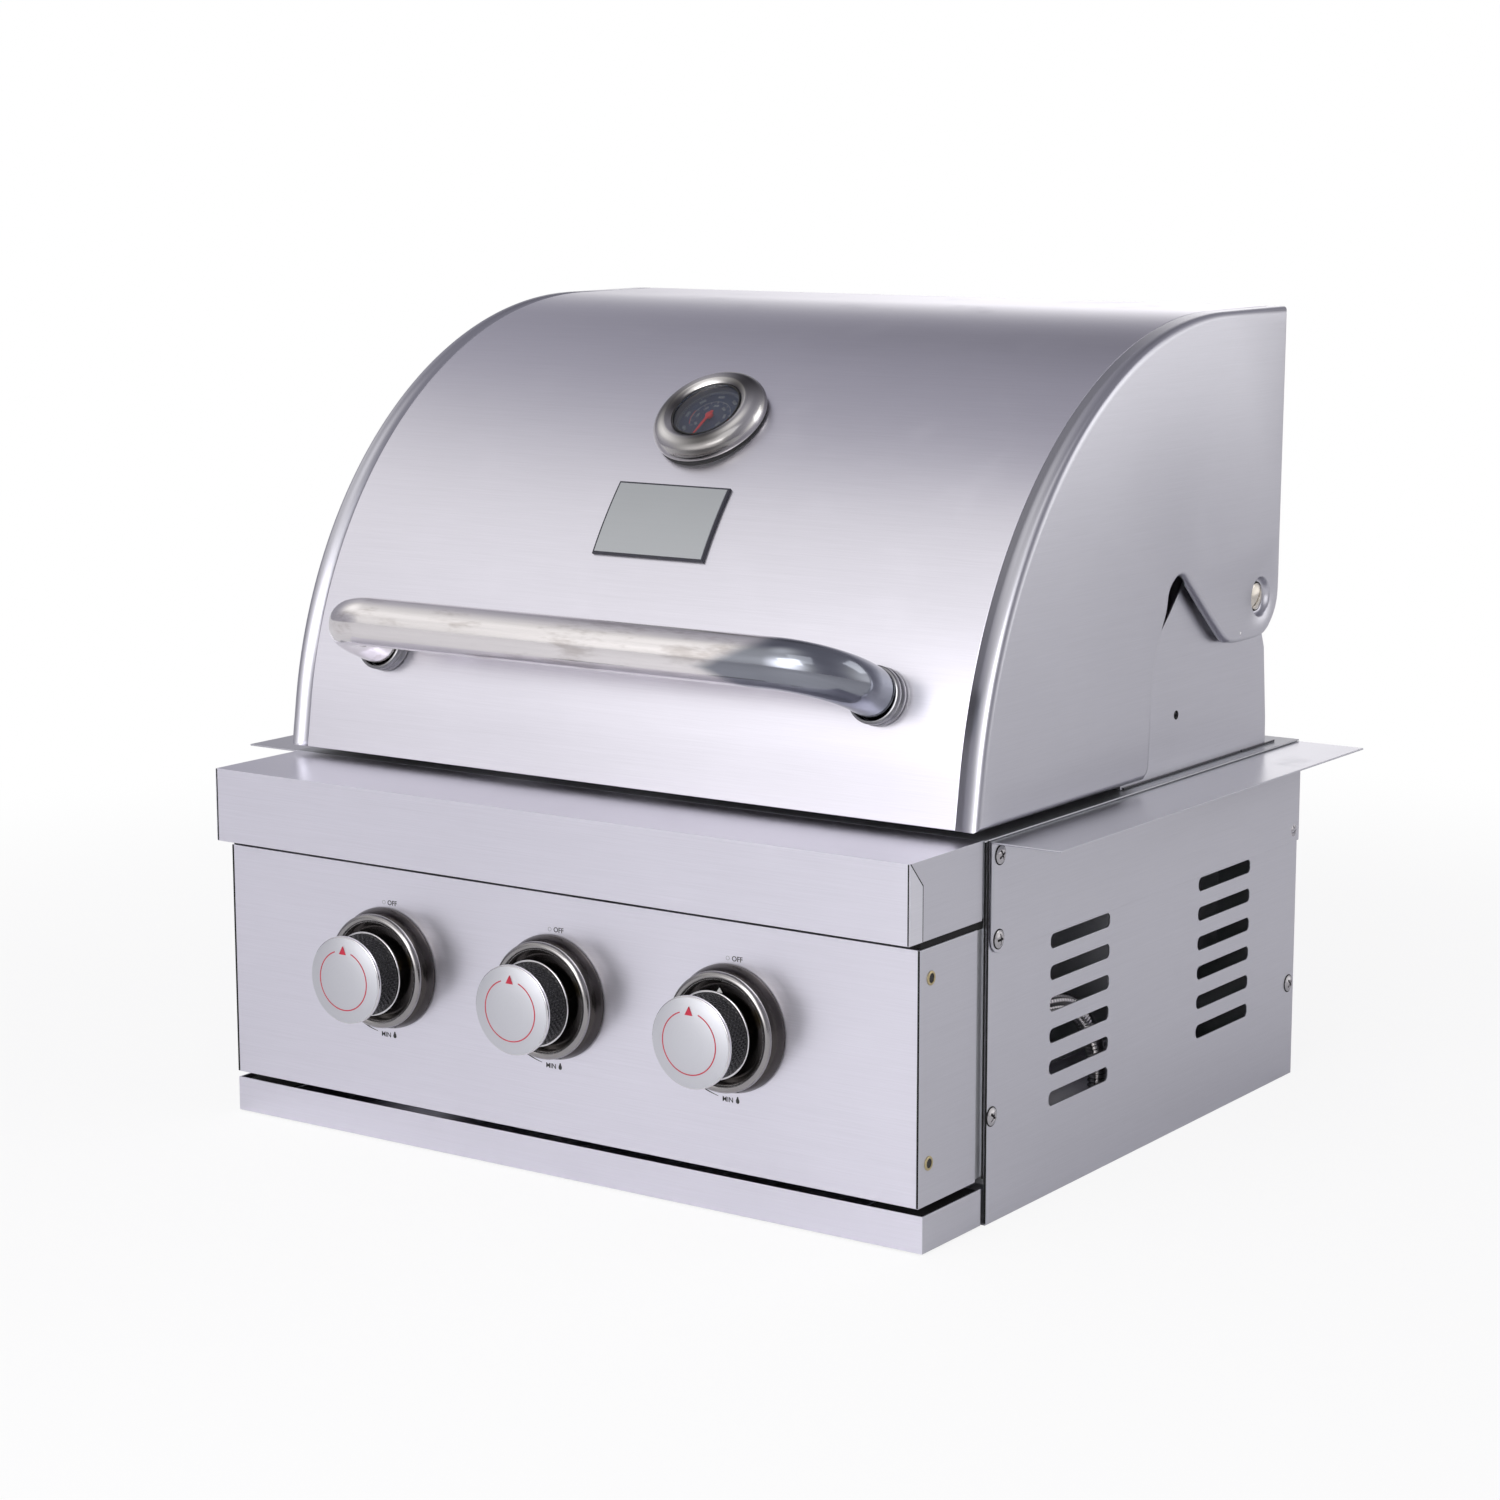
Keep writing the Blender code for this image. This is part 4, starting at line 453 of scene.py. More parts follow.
def turned(name, profile, where, finish, body, count=96, ease=0.0006, closed=True, wave=None, bowl=0.0,
           **more):
    """Turn a profile of (radius, height): P = where (r cos t, r sin t, h), closed round the axis.

    What lies under height zero sinks by bowl (r sin t) squared, so that it follows a curved sheet.
    """
    line = eased(profile, ease, closed=closed) if ease else np.asarray(profile, float)
    turn = np.linspace(0, 2 * np.pi, count, endpoint=False)[None, :]
    r, h = line[:, :1], line[:, 1:]
    if wave is not None:
        r = r + wave(turn, h + 0 * turn)
    grid = np.stack((r * np.cos(turn), r * np.sin(turn), h - (h < 0) * bowl * (r * np.sin(turn)) ** 2), -1)
    run = np.cumsum(np.r_[0.0, np.linalg.norm(np.diff(line, axis=0), axis=1)])[:, None]
    grain = np.stack((0.02 * np.cos(turn) + 0 * run, 0.02 * np.sin(turn) + 0 * run, run + 0 * turn), -1)
    grid = moved(grid.reshape(-1, 3), where).reshape(grid.shape)
    return sheet_of(name, grid, finish, body, wrap=(closed, True), grain=grain.reshape(-1, 3), **more)


print("lathe ready")

# %% [markdown]
# ## Rods
# The handle and the hose are tubes, and a tube is a circle carried along a path.
# A curve object with a bevel would give the same form, without a grain for the brushed finish.


# %% Rods
def swept(name, path, radius, finish, body, count=32, side=(1, 0, 0), trim=None, **more):
    """A round rod: P(s, t) = path(s) + r(s) (cos t side + sin t up), side square to the run."""
    path = np.asarray(path, float)
    run = np.gradient(path, axis=0)
    run /= np.linalg.norm(run, axis=1, keepdims=True)
    side = np.asarray(side, float) - run * (run @ np.asarray(side, float))[:, None]
    side /= np.linalg.norm(side, axis=1, keepdims=True)
    up = np.cross(run, side)
    turn = np.linspace(0, 2 * np.pi, count, endpoint=False)[None, :, None]
    radius = np.broadcast_to(radius, (len(path),))[:, None, None]
    grid = path[:, None] + radius * (np.cos(turn) * side[:, None] + np.sin(turn) * up[:, None])
    if trim is not None:
        for end in (0, -1):
            slide = ((trim[0] - grid[end]) @ trim[1]) / (run[end] @ trim[1])
            grid[end] += slide[:, None] * run[end]
    length = np.cumsum(np.r_[0.0, np.linalg.norm(np.diff(path, axis=0), axis=1)])[:, None, None]
    grain = np.concatenate((0.02 * np.cos(turn) + 0 * length, 0.02 * np.sin(turn) + 0 * length,
                            length + 0 * turn), -1)
    return sheet_of(name, grid, finish, body, caps=True, grain=grain.reshape(-1, 3), **more)


print("rods ready")

# %% [markdown]
# ## Copies of the solids
# Most of the folded sheet is right as it is, but its edges are as sharp as a drawing's.
# A copy gets its loose triangles joined, its flat fields merged and its edges rounded by a bevel.
# The copy then stands for the solid, which stays in the frame for collisions.


# %% Softened copies
def softened(node, body, finish=None, edge=0.00035, angle=32.0):
    """A copy of a frame piece with its points merged, flat fields joined and edges softened."""
    mesh = nodes[node].data.copy()
    tidy = bmesh.new()
    tidy.from_mesh(mesh)
    bmesh.ops.remove_doubles(tidy, verts=tidy.verts, dist=1e-6)
    bmesh.ops.dissolve_limit(tidy, angle_limit=0.004, verts=tidy.verts, edges=tidy.edges)
    tidy.to_mesh(mesh)
    tidy.free()
    kept = finish or nodes[node].material_slots[0].material
    thing = place_mesh(node + "_soft", mesh, kept, body, (node,), angle, edge)
    # Faces of the front sheet that look sideways take the darker side finish, as painted shade.
    if kept == front_steel:
        mesh.materials.append(side_steel_painted_shade)
        for face in mesh.polygons:
            face.material_index = int(abs(face.normal.x) > 0.9)
    return thing


behaviour = frame["record"]["behaviour"]


def body_of(node):
    """The body that carries a frame piece."""
    return next(name for name, held in behaviour["bodies"].items() if node in held)


print("copies ready")

# %% [markdown]
# ## Hood
# The hood's skin is one sheet, rolled to a straight that leans back, one long arc and a flat top.
# A cylinder with planes joined on would show its joins; one line by its length has none,
# and everything that sits on the hood, such as the dial and the badge, can ask it for a place.

# %% Hood line
LEAN = math.radians(8.64)
HOOD_R = 0.3198
STRAIGHT = 0.0318
SHEET = 0.0012
SKIN_X = 0.2647
HOOD_X = 0.2812
CORNER = np.array((-0.22845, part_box("hood_skin")[0].z))
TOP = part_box("hood_skin")[1].z
CENTRE = np.array((CORNER[0] + math.sin(LEAN) * STRAIGHT + math.cos(LEAN) * HOOD_R, TOP - HOOD_R))
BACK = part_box("hood_skin")[1].y


def hood_angle(s):
    """The way out of the skin at length s: pi - lean - (s - straight) / R, held between front and top."""
    return math.pi - LEAN - np.clip((s - STRAIGHT) / HOOD_R, 0.0, math.pi / 2 - LEAN)


def hood_line(s, off=0.0):
    """The point (y, z) at each length s along the hood, off metres outside the skin."""
    s = np.asarray(s, float)
    angle = hood_angle(s)
    out = np.stack((np.cos(angle), np.sin(angle)), -1)
    spot = CENTRE + HOOD_R * out
    below = np.minimum(s - STRAIGHT, 0.0)[..., None] * np.array((math.sin(LEAN), math.cos(LEAN)))
    beyond = np.maximum(s - STRAIGHT - HOOD_R * (math.pi / 2 - LEAN), 0.0)[..., None] * (1.0, 0.0)
    return spot + below + beyond + off * out


ARC_END = STRAIGHT + HOOD_R * (math.pi / 2 - LEAN)
front_s = np.r_[np.linspace(0, STRAIGHT, 4)[:-1], np.linspace(STRAIGHT, ARC_END, 121),
                np.linspace(ARC_END, ARC_END + BACK - CENTRE[0] - 0.002, 8)[1:]]
outer = hood_line(front_s)
inner = hood_line(front_s, -SHEET)
print("the hood's line is", round(float(front_s[-1]), 3), "m long")

# %% [markdown]
# ## Hood skin
# The sheet's two faces follow that line, one a thickness inside the other, and it is folded in
# at the front foot and down at the back. Both faces are carried from one side of the hood to the other.

# %% Hood skin
skin_out = np.vstack(([-0.21845, CORNER[1]], outer, [BACK, TOP], [0.17986, 0.3610]))
skin_in = np.vstack(([-0.21845, CORNER[1] + SHEET], [CORNER[0] + 0.0014, CORNER[1] + SHEET], inner[1:],
                     [BACK - SHEET, TOP - SHEET], [0.17865, 0.3610]))
ring = np.stack((skin_out, skin_out, skin_in, skin_in), 1)
across = np.array((-SKIN_X, SKIN_X, SKIN_X, -SKIN_X))[None, :, None] + 0 * ring[..., :1]
sheet_of("hood_sheet", np.concatenate((across, ring), -1), hood_steel, "hood", caps=True,
         stands_for=("hood_skin",), angle=25.0, edge=0.0005)
print("hood skin", round(2 * SKIN_X, 3), "m wide")

# %% [markdown]
# ## End caps
# Each cap is drawn from one sheet: an edge bent right round, a notch that clears the hinge's plate,
# and a round dimple that takes the pivot screw. Its lower edge is given as shares of its depth and height,
# read off the solid's own outline, and a smooth line runs through them.
# A flat face with a bevel would miss the bend's even width, so the rings of the bend are worked out.

# %% End caps
DEPTH, HEIGHT = BACK - CORNER[0], TOP - CORNER[1]
BAND, DEEP_BAND, BEND_R = 0.0065, 0.0162, 0.0045
edge_shares = np.array((
    (0.0500, 0.0000), (0.5208, 0.0000), (0.5361, 0.0214), (0.5398, 0.0858), (0.5488, 0.2276), (0.5682, 0.3018),
    (0.5894, 0.3562), (0.5986, 0.4007), (0.6169, 0.4238), (0.6344, 0.4314), (0.6522, 0.4261), (0.6728, 0.4040),
    (0.7354, 0.3308), (0.7954, 0.2645), (0.8215, 0.2523), (0.8553, 0.2490), (0.9185, 0.2500), (0.9489, 0.2589),
    (0.9735, 0.2869), (0.9881, 0.3199), (0.9932, 0.3595), (0.9941, 0.4453), (0.9947, 0.4900)))
PIVOT = CORNER + np.array((0.9202 * DEPTH, 0.3445 * HEIGHT))


def through(points, steps):
    """A smooth line through the points, with that many steps between each two."""
    ends = np.vstack((2 * points[:1] - points[1:2], points, 2 * points[-1:] - points[-2:-1]))
    a, b, c, d = (ends[k:len(ends) - 3 + k, None] for k in range(4))
    t = (np.arange(steps) / steps)[None, :, None]
    line = (2 * b + (c - a) * t + (2 * a - 5 * b + 4 * c - d) * t ** 2 + (3 * b - a - 3 * c + d) * t ** 3) / 2
    return np.vstack((line.reshape(-1, points.shape[1]), points[-1:]))


def set_in(line, distance):
    """The closed line moved in by a distance; it runs against the clock."""
    first = line - np.roll(line, 1, 0)
    second = np.roll(line, -1, 0) - line
    both = [np.stack((-v[:, 1], v[:, 0]), 1) / np.linalg.norm(v, axis=1, keepdims=True)
            for v in (first, second)]
    middle = both[0] + both[1]
    return line + middle * distance * 2 / np.maximum((middle ** 2).sum(1, keepdims=True), 0.6)


lower = CORNER + edge_shares * np.array((DEPTH, HEIGHT))
lower = np.vstack((lower[:1], through(lower[1:], 4)))
fine_s = np.linspace(0, ARC_END, 90)[::-1]
outline = np.vstack((lower, [[BACK, TOP - 0.012], [BACK, TOP]], hood_line(fine_s)))
shallow = len(lower) - 2
depths = np.r_[np.full(shallow, BAND), np.linspace(BAND, DEEP_BAND, 6)[1:5],
               np.full(len(outline) - shallow - 4, DEEP_BAND)]
bend = np.linspace(0, np.pi / 2, 9)
rims = [(outline, HOOD_X - depths)]
rims += [(set_in(outline, BEND_R * (1 - math.cos(a))),
          np.full(len(outline), HOOD_X - BEND_R * (1 - math.sin(a)))) for a in bend]
grid = np.stack([np.c_[x, line] for line, x in rims])
reach = np.linspace(0.0, 1.0, 9)
dimple_r = np.r_[0.0145 - 0.0032 * reach, 0.0043]
dimple_x = HOOD_X - np.r_[BEND_R * (reach ** 2 * (3 - 2 * reach)), BEND_R]
turn = np.linspace(0, 2 * np.pi, 48, endpoint=False)
hollow = np.stack((dimple_x[:, None] + 0 * turn, PIVOT[0] + dimple_r[:, None] * np.cos(turn),
                   PIVOT[1] + dimple_r[:, None] * np.sin(turn)), -1)


def ring_quads(rows, count, start):
    """Quads between the rings of a closed grid whose points are numbered from start."""
    index = np.arange(rows * count).reshape(rows, count) + start
    return quads_of(np.hstack((index, index[:, :1])))


print("end caps have", len(outline), "points round their edge")

# %% [markdown]
# ## Making the caps
# The bend and the dimple are grids, and the flat face between them is filled by triangles,
# because its outline is far from a rectangle. Solidify then gives the sheet its thickness inwards.
# The bent edge was brushed along its own run, so it takes another finish than the face.

# %% Caps
run = np.cumsum(np.r_[0.0, np.linalg.norm(np.diff(outline, axis=0), axis=1)])
for side, sign in (("left", -1), ("right", 1)):
    points = np.vstack((grid.reshape(-1, 3), hollow.reshape(-1, 3))) * (sign, 1, 1)
    faces = ring_quads(len(rims), len(outline), 0) + ring_quads(len(dimple_r), 48, grid.size // 3)
    mesh = bpy.data.meshes.new("end_cap_" + side)
    mesh.from_pydata(points.tolist(), [], faces)
    along = np.zeros((len(points), 3), np.float32)
    zero = 0 * grid[..., 0]
    along[:grid.size // 3] = np.stack((run[None] * 0.1 + zero, zero, grid[..., 0]), -1).reshape(-1, 3)
    mesh.attributes.new("grain", "FLOAT_VECTOR", "POINT").data.foreach_set("vector", along.ravel())
    work = bmesh.new()
    work.from_mesh(mesh)
    rim = [e for e in work.edges if len(e.link_faces) == 1
           and all(abs(abs(v.co.x) - HOOD_X) < 1e-6 for v in e.verts)]
    bmesh.ops.triangle_fill(work, use_beauty=True, use_dissolve=False, edges=rim)
    bmesh.ops.recalc_face_normals(work, faces=work.faces)
    if sum(f.normal.x * f.calc_area() for f in work.faces) * sign < 0:
        bmesh.ops.reverse_faces(work, faces=work.faces)
    for face in work.faces:
        face.material_index = int(abs(face.normal.x) < 0.9)
    work.to_mesh(mesh)
    work.free()
    mesh.materials.append(side_steel_painted_shade)
    mesh.materials.append(edge_steel)
    cap = place_mesh("end_cap_" + side, mesh, None, "hood", ("hood_end_cap_" + side,), 40.0)
    solid = cap.modifiers.new("sheet", "SOLIDIFY")
    solid.thickness = SHEET
    solid.offset = -1.0
    solid.use_even_offset = True
print("end caps made")

# %% [markdown]
# ## Handle
# The real handle is a tube bent at both ends and welded to two collar rings, with no visible screw.
# Its path is a leg, a quarter circle and a straight, mirrored, and a circle is carried along it.
# The leg's end is cut on a slant, so that it meets the leaning skin all round.

# %% Handle
HANDLE_S, HANDLE_X = 0.077, 0.201
LEG, ELBOW_R, TUBE_R = 0.026, 0.039, 0.0163
foot = hood_line(HANDLE_S)
tilt = math.radians(23.0)
leg = np.array((0.0, -math.cos(tilt), math.sin(tilt)))
foot = np.array((0.0, foot[0], foot[1]))
right = np.array((1.0, 0.0, 0.0))
arc = np.linspace(0, np.pi / 2, 49)[:, None]
elbow = HANDLE_X * right + foot + leg * LEG + ELBOW_R * (-right + right * np.cos(arc) + leg * np.sin(arc))
stand = foot + HANDLE_X * right + leg * np.linspace(0, 0.025, 8)[:, None]
middle_x = np.linspace(HANDLE_X - ELBOW_R, ELBOW_R - HANDLE_X, 41)[1:-1, None]
half = np.vstack((stand, elbow))
path = np.vstack((half, foot + leg * (LEG + ELBOW_R) + right * middle_x, half[::-1] * (-1, 1, 1)))
angle = hood_angle(HANDLE_S)
skin_out_way = np.array((0.0, math.cos(angle), math.sin(angle)))
swept("handle_bar", path, TUBE_R, tube_steel, "hood", 56, side=np.cross(right, leg), trim=(foot, skin_out_way),
      stands_for=("handle_tube",))
for side, sign in (("left", -1), ("right", 1)):
    at = axes(foot + sign * HANDLE_X * right, right, skin_out_way)
    turned("collar_" + side, ((0.0165, 0.0105), (0.0176, 0.0105), (0.0188, 0.0098), (0.0188, 0.0064),
                              (0.0180, 0.0058), (0.0180, 0.0048), (0.0188, 0.0042), (0.0190, 0.0004),
                              (0.0165, 0.0004)),
           at, collar_steel, "hood", 80, ease=0.0004, stands_for=("handle_collar_" + side,))
print("handle stands off by", round(float(LEG + ELBOW_R), 3), "m")

# %% [markdown]
# ## Flat marks
# Scales, words and arrows are printed, which is a layer of ink a few hundredths of a millimetre thick.
# An image would need a texture, and a cut in the sheet would change its mesh, so each mark is
# a closed plate of that thickness: a sector of a ring, an outline, or a word made from a text curve.

# %% Flat marks
def band_of(inner_r, outer_r, start, end, count=48, z=(0.0, 0.00008)):
    """Points and faces of a closed, thin ring sector between two angles."""
    turn = np.linspace(start, end, count)
    corners = ((inner_r, z[0]), (outer_r, z[0]), (outer_r, z[1]), (inner_r, z[1]))
    points = np.stack([np.stack((r * np.cos(turn), r * np.sin(turn), h + 0 * turn), -1) for r, h in corners], 1)
    index = np.arange(count * 4).reshape(count, 4)
    ends = [[0, 1, 2, 3], [count * 4 - k for k in (1, 2, 3, 4)]]
    return points.reshape(-1, 3), quads_of(np.hstack((index, index[:, :1]))) + ends


def flat_of(outline, z=(0.0, 0.00008)):
    """Points and faces of a thin closed plate with that outline."""
    line = np.asarray(outline, float)
    count = len(line)
    points = np.vstack([np.c_[line, np.full(count, h)] for h in z])
    index = np.arange(count)
    after = np.roll(index, -1)
    sides = np.stack((index, after, after + count, index + count), -1).tolist()
    return points, sides + [index[::-1].tolist(), (index + count).tolist()]


def words_of(text, size, at=(0.0, 0.0), turn=0.0, z=(0.0, 0.00008)):
    """Points and faces of a short word, raised from the plane."""
    line = bpy.data.curves.new("word", "FONT")
    line.body = text
    line.size = size
    line.align_x = "CENTER"
    line.align_y = "CENTER"
    line.resolution_u = 3
    line.extrude = (z[1] - z[0]) / 2
    line.offset = 0.00005 if size > 0.004 else 0.0
    holder = bpy.data.objects.new("word", line)
    scene.collection.objects.link(holder)
    bpy.context.view_layer.update()
    made = bpy.data.meshes.new_from_object(holder.evaluated_get(bpy.context.evaluated_depsgraph_get()))
    bpy.data.objects.remove(holder)
    flat = np.zeros(len(made.vertices) * 3)
    made.vertices.foreach_get("co", flat)
    points = flat.reshape(-1, 3)
    points[:, :2] = points[:, :2] @ spun(turn)
    return points + (at[0], at[1], (z[0] + z[1]) / 2), [list(p.vertices) for p in made.polygons]


def marks(name, parts, where, finish, body):
    """All these flat parts as one piece in a frame."""
    starts = np.cumsum([0] + [len(p) for p, _ in parts])
    points = np.vstack([p for p, _ in parts])
    faces = [[int(v) + int(start) for v in face] for start, (_, held) in zip(starts, parts) for face in held]
    return piece(name, moved(points, where), faces, finish, body, join=1e-9)


print("flat marks ready")

# %% [markdown]
# ## Thermometer
# The real one is a spun bezel over a dial with a glass, clamped to the hood on a rubber gasket.
# All of it is round, so each part is turned about one axis that points straight out of the skin.
# The gasket's underside sinks a little to both sides of its middle, because the skin is curved.

# %% Thermometer
DIAL_S = 0.266
spot, out_angle = hood_line(DIAL_S), hood_angle(DIAL_S)
FACE_Z = (0.0038, 0.00388)
thermo = axes((0.0, spot[0], spot[1]), right, (0.0, math.cos(out_angle), math.sin(out_angle)))
turned("dial_bezel", ((0.0247, 0.0120), (0.0283, 0.0142), (0.0298, 0.0144), (0.0330, 0.0138), (0.0362, 0.0123),
                      (0.0389, 0.0098), (0.0404, 0.0068), (0.0408, 0.0046), (0.0407, 0.0028), (0.0402, 0.0016),
                      (0.0046, 0.0016), (0.0046, 0.0027), (0.0300, 0.0027), (0.0300, 0.0096), (0.0245, 0.0096)),
       thermo, dial_steel, "hood", 128, ease=0.0012, stands_for=("thermometer_bezel",))
turned("dial_seal", ((0.0235, 0.0119), (0.0238, 0.0124), (0.02465, 0.0124), (0.02465, 0.0119)),
       thermo, gasket, "hood", 96, ease=0.0001)
turned("dial_gasket", ((0.0080, 0.0012), (0.0396, 0.0012), (0.0398, 0.0002), (0.0398, -0.0004),
                       (0.0080, -0.0002)),
       thermo, gasket, "hood", 96, ease=0, bowl=0.5 / HOOD_R, stands_for=("thermometer_gasket",))
turned("dial_face", ((0.0013, FACE_Z[0]), (0.0297, FACE_Z[0]), (0.0297, 0.0030), (0.0013, 0.0030)),
       thermo, plain["dial"], "hood", 96, ease=0.0001, stands_for=("thermometer_dial",))
turned("dial_window", ((0.0, 0.01195), (0.0100, 0.0119), (0.0200, 0.0116), (0.0242, 0.0114), (0.0242, 0.0101),
                       (0.0, 0.0101)),
       thermo, glass, "hood", 96, ease=0, closed=False, stands_for=("thermometer_lens",))
print("dial at height", round(float(spot[1]), 3), "m")

# %% [markdown]
# ## The dial's scale
# The scale runs through 250 degrees, with a long line at each hundred, numbers for the two units,
# and two short red arcs. Every mark is placed by its angle on the dial, as a printer would lay it out.

# %% Scale
sweep = np.radians(np.linspace(-38.0, -38.0 - 250.0, 61) - 90 - 14)
low_marks, high_marks, red_marks = [], [], []
for k, a in enumerate(sweep):
    long = k % 10 == 0
    high_marks.append(band_of(0.0212 if long else 0.0222, 0.0236, a - 0.008, a + 0.008, 3, FACE_Z))
    if k % 5 == 0:
        low_marks.append(band_of(0.0128, 0.0140, a - 0.012, a + 0.012, 3, FACE_Z))
for k in range(7):
    a = sweep[k * 10]
    at = (0.0186 * math.cos(a), 0.0186 * math.sin(a))
    high_marks.append(words_of(str(100 + 100 * k), 0.0034, at, a - math.pi / 2, FACE_Z))
    at = (0.0104 * math.cos(a), 0.0104 * math.sin(a))
    low_marks.append(words_of(str(50 + 50 * k), 0.0027, at, a - math.pi / 2, FACE_Z))
high_marks.append(band_of(0.0240, 0.0242, sweep[-1], sweep[0], 96, FACE_Z))
low_marks.append(band_of(0.0143, 0.0145, sweep[-1], sweep[0], 96, FACE_Z))
red_marks.append(band_of(0.0147, 0.0150, sweep[14], sweep[2], 24, FACE_Z))
red_marks.append(band_of(0.0147, 0.0150, sweep[60], sweep[52], 24, FACE_Z))
marks("dial_scale", high_marks + low_marks, thermo, pale_ink, "hood")
marks("dial_red_zone", red_marks, thermo, pointer_red, "hood")
print("dial marks:", len(high_marks), "outside,", len(low_marks), "inside")

# %% [markdown]
# ## The pointer
# A turned hub and a flat tapering blade. They ride on a body of their own, which turns over the dial.

# %% Pointer
turned("needle_hub", ((0.0, 0.0072), (0.0016, 0.0070), (0.0026, 0.0064), (0.0028, 0.0050), (0.0010, 0.0050),
                      (0.0010, 0.0033), (0.0, 0.0033)),
       thermo, pointer_red, "needle", 48, ease=0, closed=False, stands_for=("thermometer_needle",))
blade = np.array(((-0.0011, -0.004), (0.0011, -0.004), (0.0009, 0.010), (0.0002, 0.0198), (-0.0002, 0.0198),
                  (-0.0009, 0.010)))
marks("needle_blade", [flat_of(blade @ spun(math.radians(170.0)), (0.0056, 0.0062))], thermo, pointer_red,
      "needle")
print("pointer made")

# %% [markdown]
# ## Knob bezels
# Behind each knob lies a spun dish with a bright ring round its rim, screwed to the panel.
# It is turned as two parts, because the dish is dark plated and the ring is not.

# %% Bezels
KNOBS = (("1", -0.1405), ("2", 0.0), ("3", 0.1405))
KNOB_Z = 0.1228
PANEL_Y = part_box("control_panel")[0].y


def knob_bezel(number, where):
    """The dish and its ring; the ring is a circle of radius 3 mm turned at 35.9 mm."""
    turned("bezel_skirt_" + number, ((0.0372, 0.0100), (0.0381, 0.0094), (0.0397, 0.0070), (0.0409, 0.0035),
                                     (0.0414, 0.0012), (0.0412, 0.0003), (0.0085, 0.0003), (0.0085, 0.0030),
                                     (0.0230, 0.0036), (0.0300, 0.0060), (0.0334, 0.0100)),
           where, dark_turned, "casing", 128, ease=0.0009, stands_for=("knob_bezel_" + number,))
    wire = np.linspace(0, 2 * np.pi, 24, endpoint=False)
    turned("bezel_ring_" + number, np.c_[0.0359 + 0.0030 * np.cos(wire), 0.0118 + 0.0030 * np.sin(wire)], where,
           ring_steel, "casing", 128, ease=0)


print("knobs stand at", [x for _, x in KNOBS], "m")

# %% [markdown]
# ## Knob grips
# The grip is moulded with diamonds, so that a greasy hand can turn it.
# They are two sets of helical grooves that cross, and the deeper of the two counts at each point.
# Cutting hundreds of grooves as solids would be slow; here the radius itself goes in and out.


# %% Grips
def knurl(turn, h):
    """Depth of crossed grooves at each angle and height: least of two saw-tooth sets."""
    sides, pitch, depth = 44, 0.0040, 0.0012
    one = np.abs(((turn * sides / (2 * np.pi) + h / pitch) % 1) * 2 - 1)
    two = np.abs(((turn * sides / (2 * np.pi) - h / pitch) % 1) * 2 - 1)
    inside = np.clip((h - 0.0222) / 0.0004, 0, 1) * np.clip((0.0390 - h) / 0.0004, 0, 1)
    return -depth * (1 - np.minimum(np.minimum(one, two) * 1.6, 1)) * inside


def knob_grip(number, where):
    """The knurled grip and the thin plated ring behind it."""
    side = np.c_[np.full(94, 0.0275), np.linspace(0.0218, 0.0392, 94)]
    profile = np.vstack(([0.0038, 0.0218], side, [0.0267, 0.0400], [0.0038, 0.0400]))
    turned("grip_" + number, profile, where, plain["black_grip"], "knob_" + number, 432, ease=0, wave=knurl,
           stands_for=("knob_grip_" + number,), angle=80.0)
    turned("grip_ring_" + number, ((0.0240, 0.0198), (0.0284, 0.0198), (0.0286, 0.0206), (0.0284, 0.0214),
                                   (0.0240, 0.0214)),
           where, plating, "knob_" + number, 128, ease=0.0003)


print("groove depth 1.2 mm")

# %% [markdown]
# ## Knob caps
# A satin cap closes each knob, slightly domed, with a bright rim, a red ring and an arrow at the top.
# The dome falls off as a power of the radius, which is flat in the middle as a pressed cap is.

# %% Caps of the knobs
CAP_R, CAP_TOP, CAP_FALL = 0.0286, 0.0457, 0.0024


def cap_height(r):
    """Height of the cap's face: top - fall (r / R) ** 2.4."""
    return CAP_TOP - CAP_FALL * (r / CAP_R) ** 2.4


def knob_cap(number, where):
    """The rim, the domed face and the two red marks on it."""
    turned("cap_rim_" + number, ((0.0240, 0.0402), (0.0291, 0.0402), (0.0295, 0.0406), (0.0295, 0.0423),
                                 (0.0291, 0.0430), (0.0240, 0.0430)),
           where, plating, "knob_" + number, 128, ease=0.0003)
    dome_r = np.linspace(0, CAP_R, 24)
    profile = np.vstack((np.c_[dome_r, cap_height(dome_r)], [0.0288, 0.0426], [0.0, 0.0426]))
    turned("cap_face_" + number, profile, where, satin_turned, "knob_" + number,
           128, ease=0, closed=False, stands_for=("knob_cap_" + number,))
    gap, lift = math.radians(20), cap_height(0.0200)
    ring_line = band_of(0.0196, 0.0204, math.pi / 2 + gap, math.pi / 2 + 2 * math.pi - gap, 120,
                        (lift - 0.0001, lift + 0.00007))
    arrow = flat_of(((-0.0030, 0.0178), (0.0030, 0.0178), (0.0, 0.0233)), (lift - 0.0002, lift + 0.0004))
    marks("cap_marks_" + number, [ring_line, arrow], where, red_ink, "knob_" + number)


for number, x in KNOBS:
    where = axes((x, PANEL_Y, KNOB_Z), right, (0, -1, 0))
    knob_bezel(number, where)
    knob_grip(number, where)
    knob_cap(number, where)
# A pale triangle on the last knob's dish is a painted glint.
marks("dish_glint", [flat_of(((-0.0062, 0.0236), (-0.0018, 0.0236), (-0.0040, 0.0268)), (0.0060, 0.0064))],
      where, plain["pale_mark"], "casing")
print(len(KNOBS), "knobs made")

# %% [markdown]
# ## Printed marks
# The panel is printed with OFF and a small ring over each knob, MIN and a small flame under it,
# and an arc that grows wider towards the full flame. They lie on the panel as thin plates of ink,
# and each is drawn from the knob's middle, so that one list of places serves the knobs and their print.

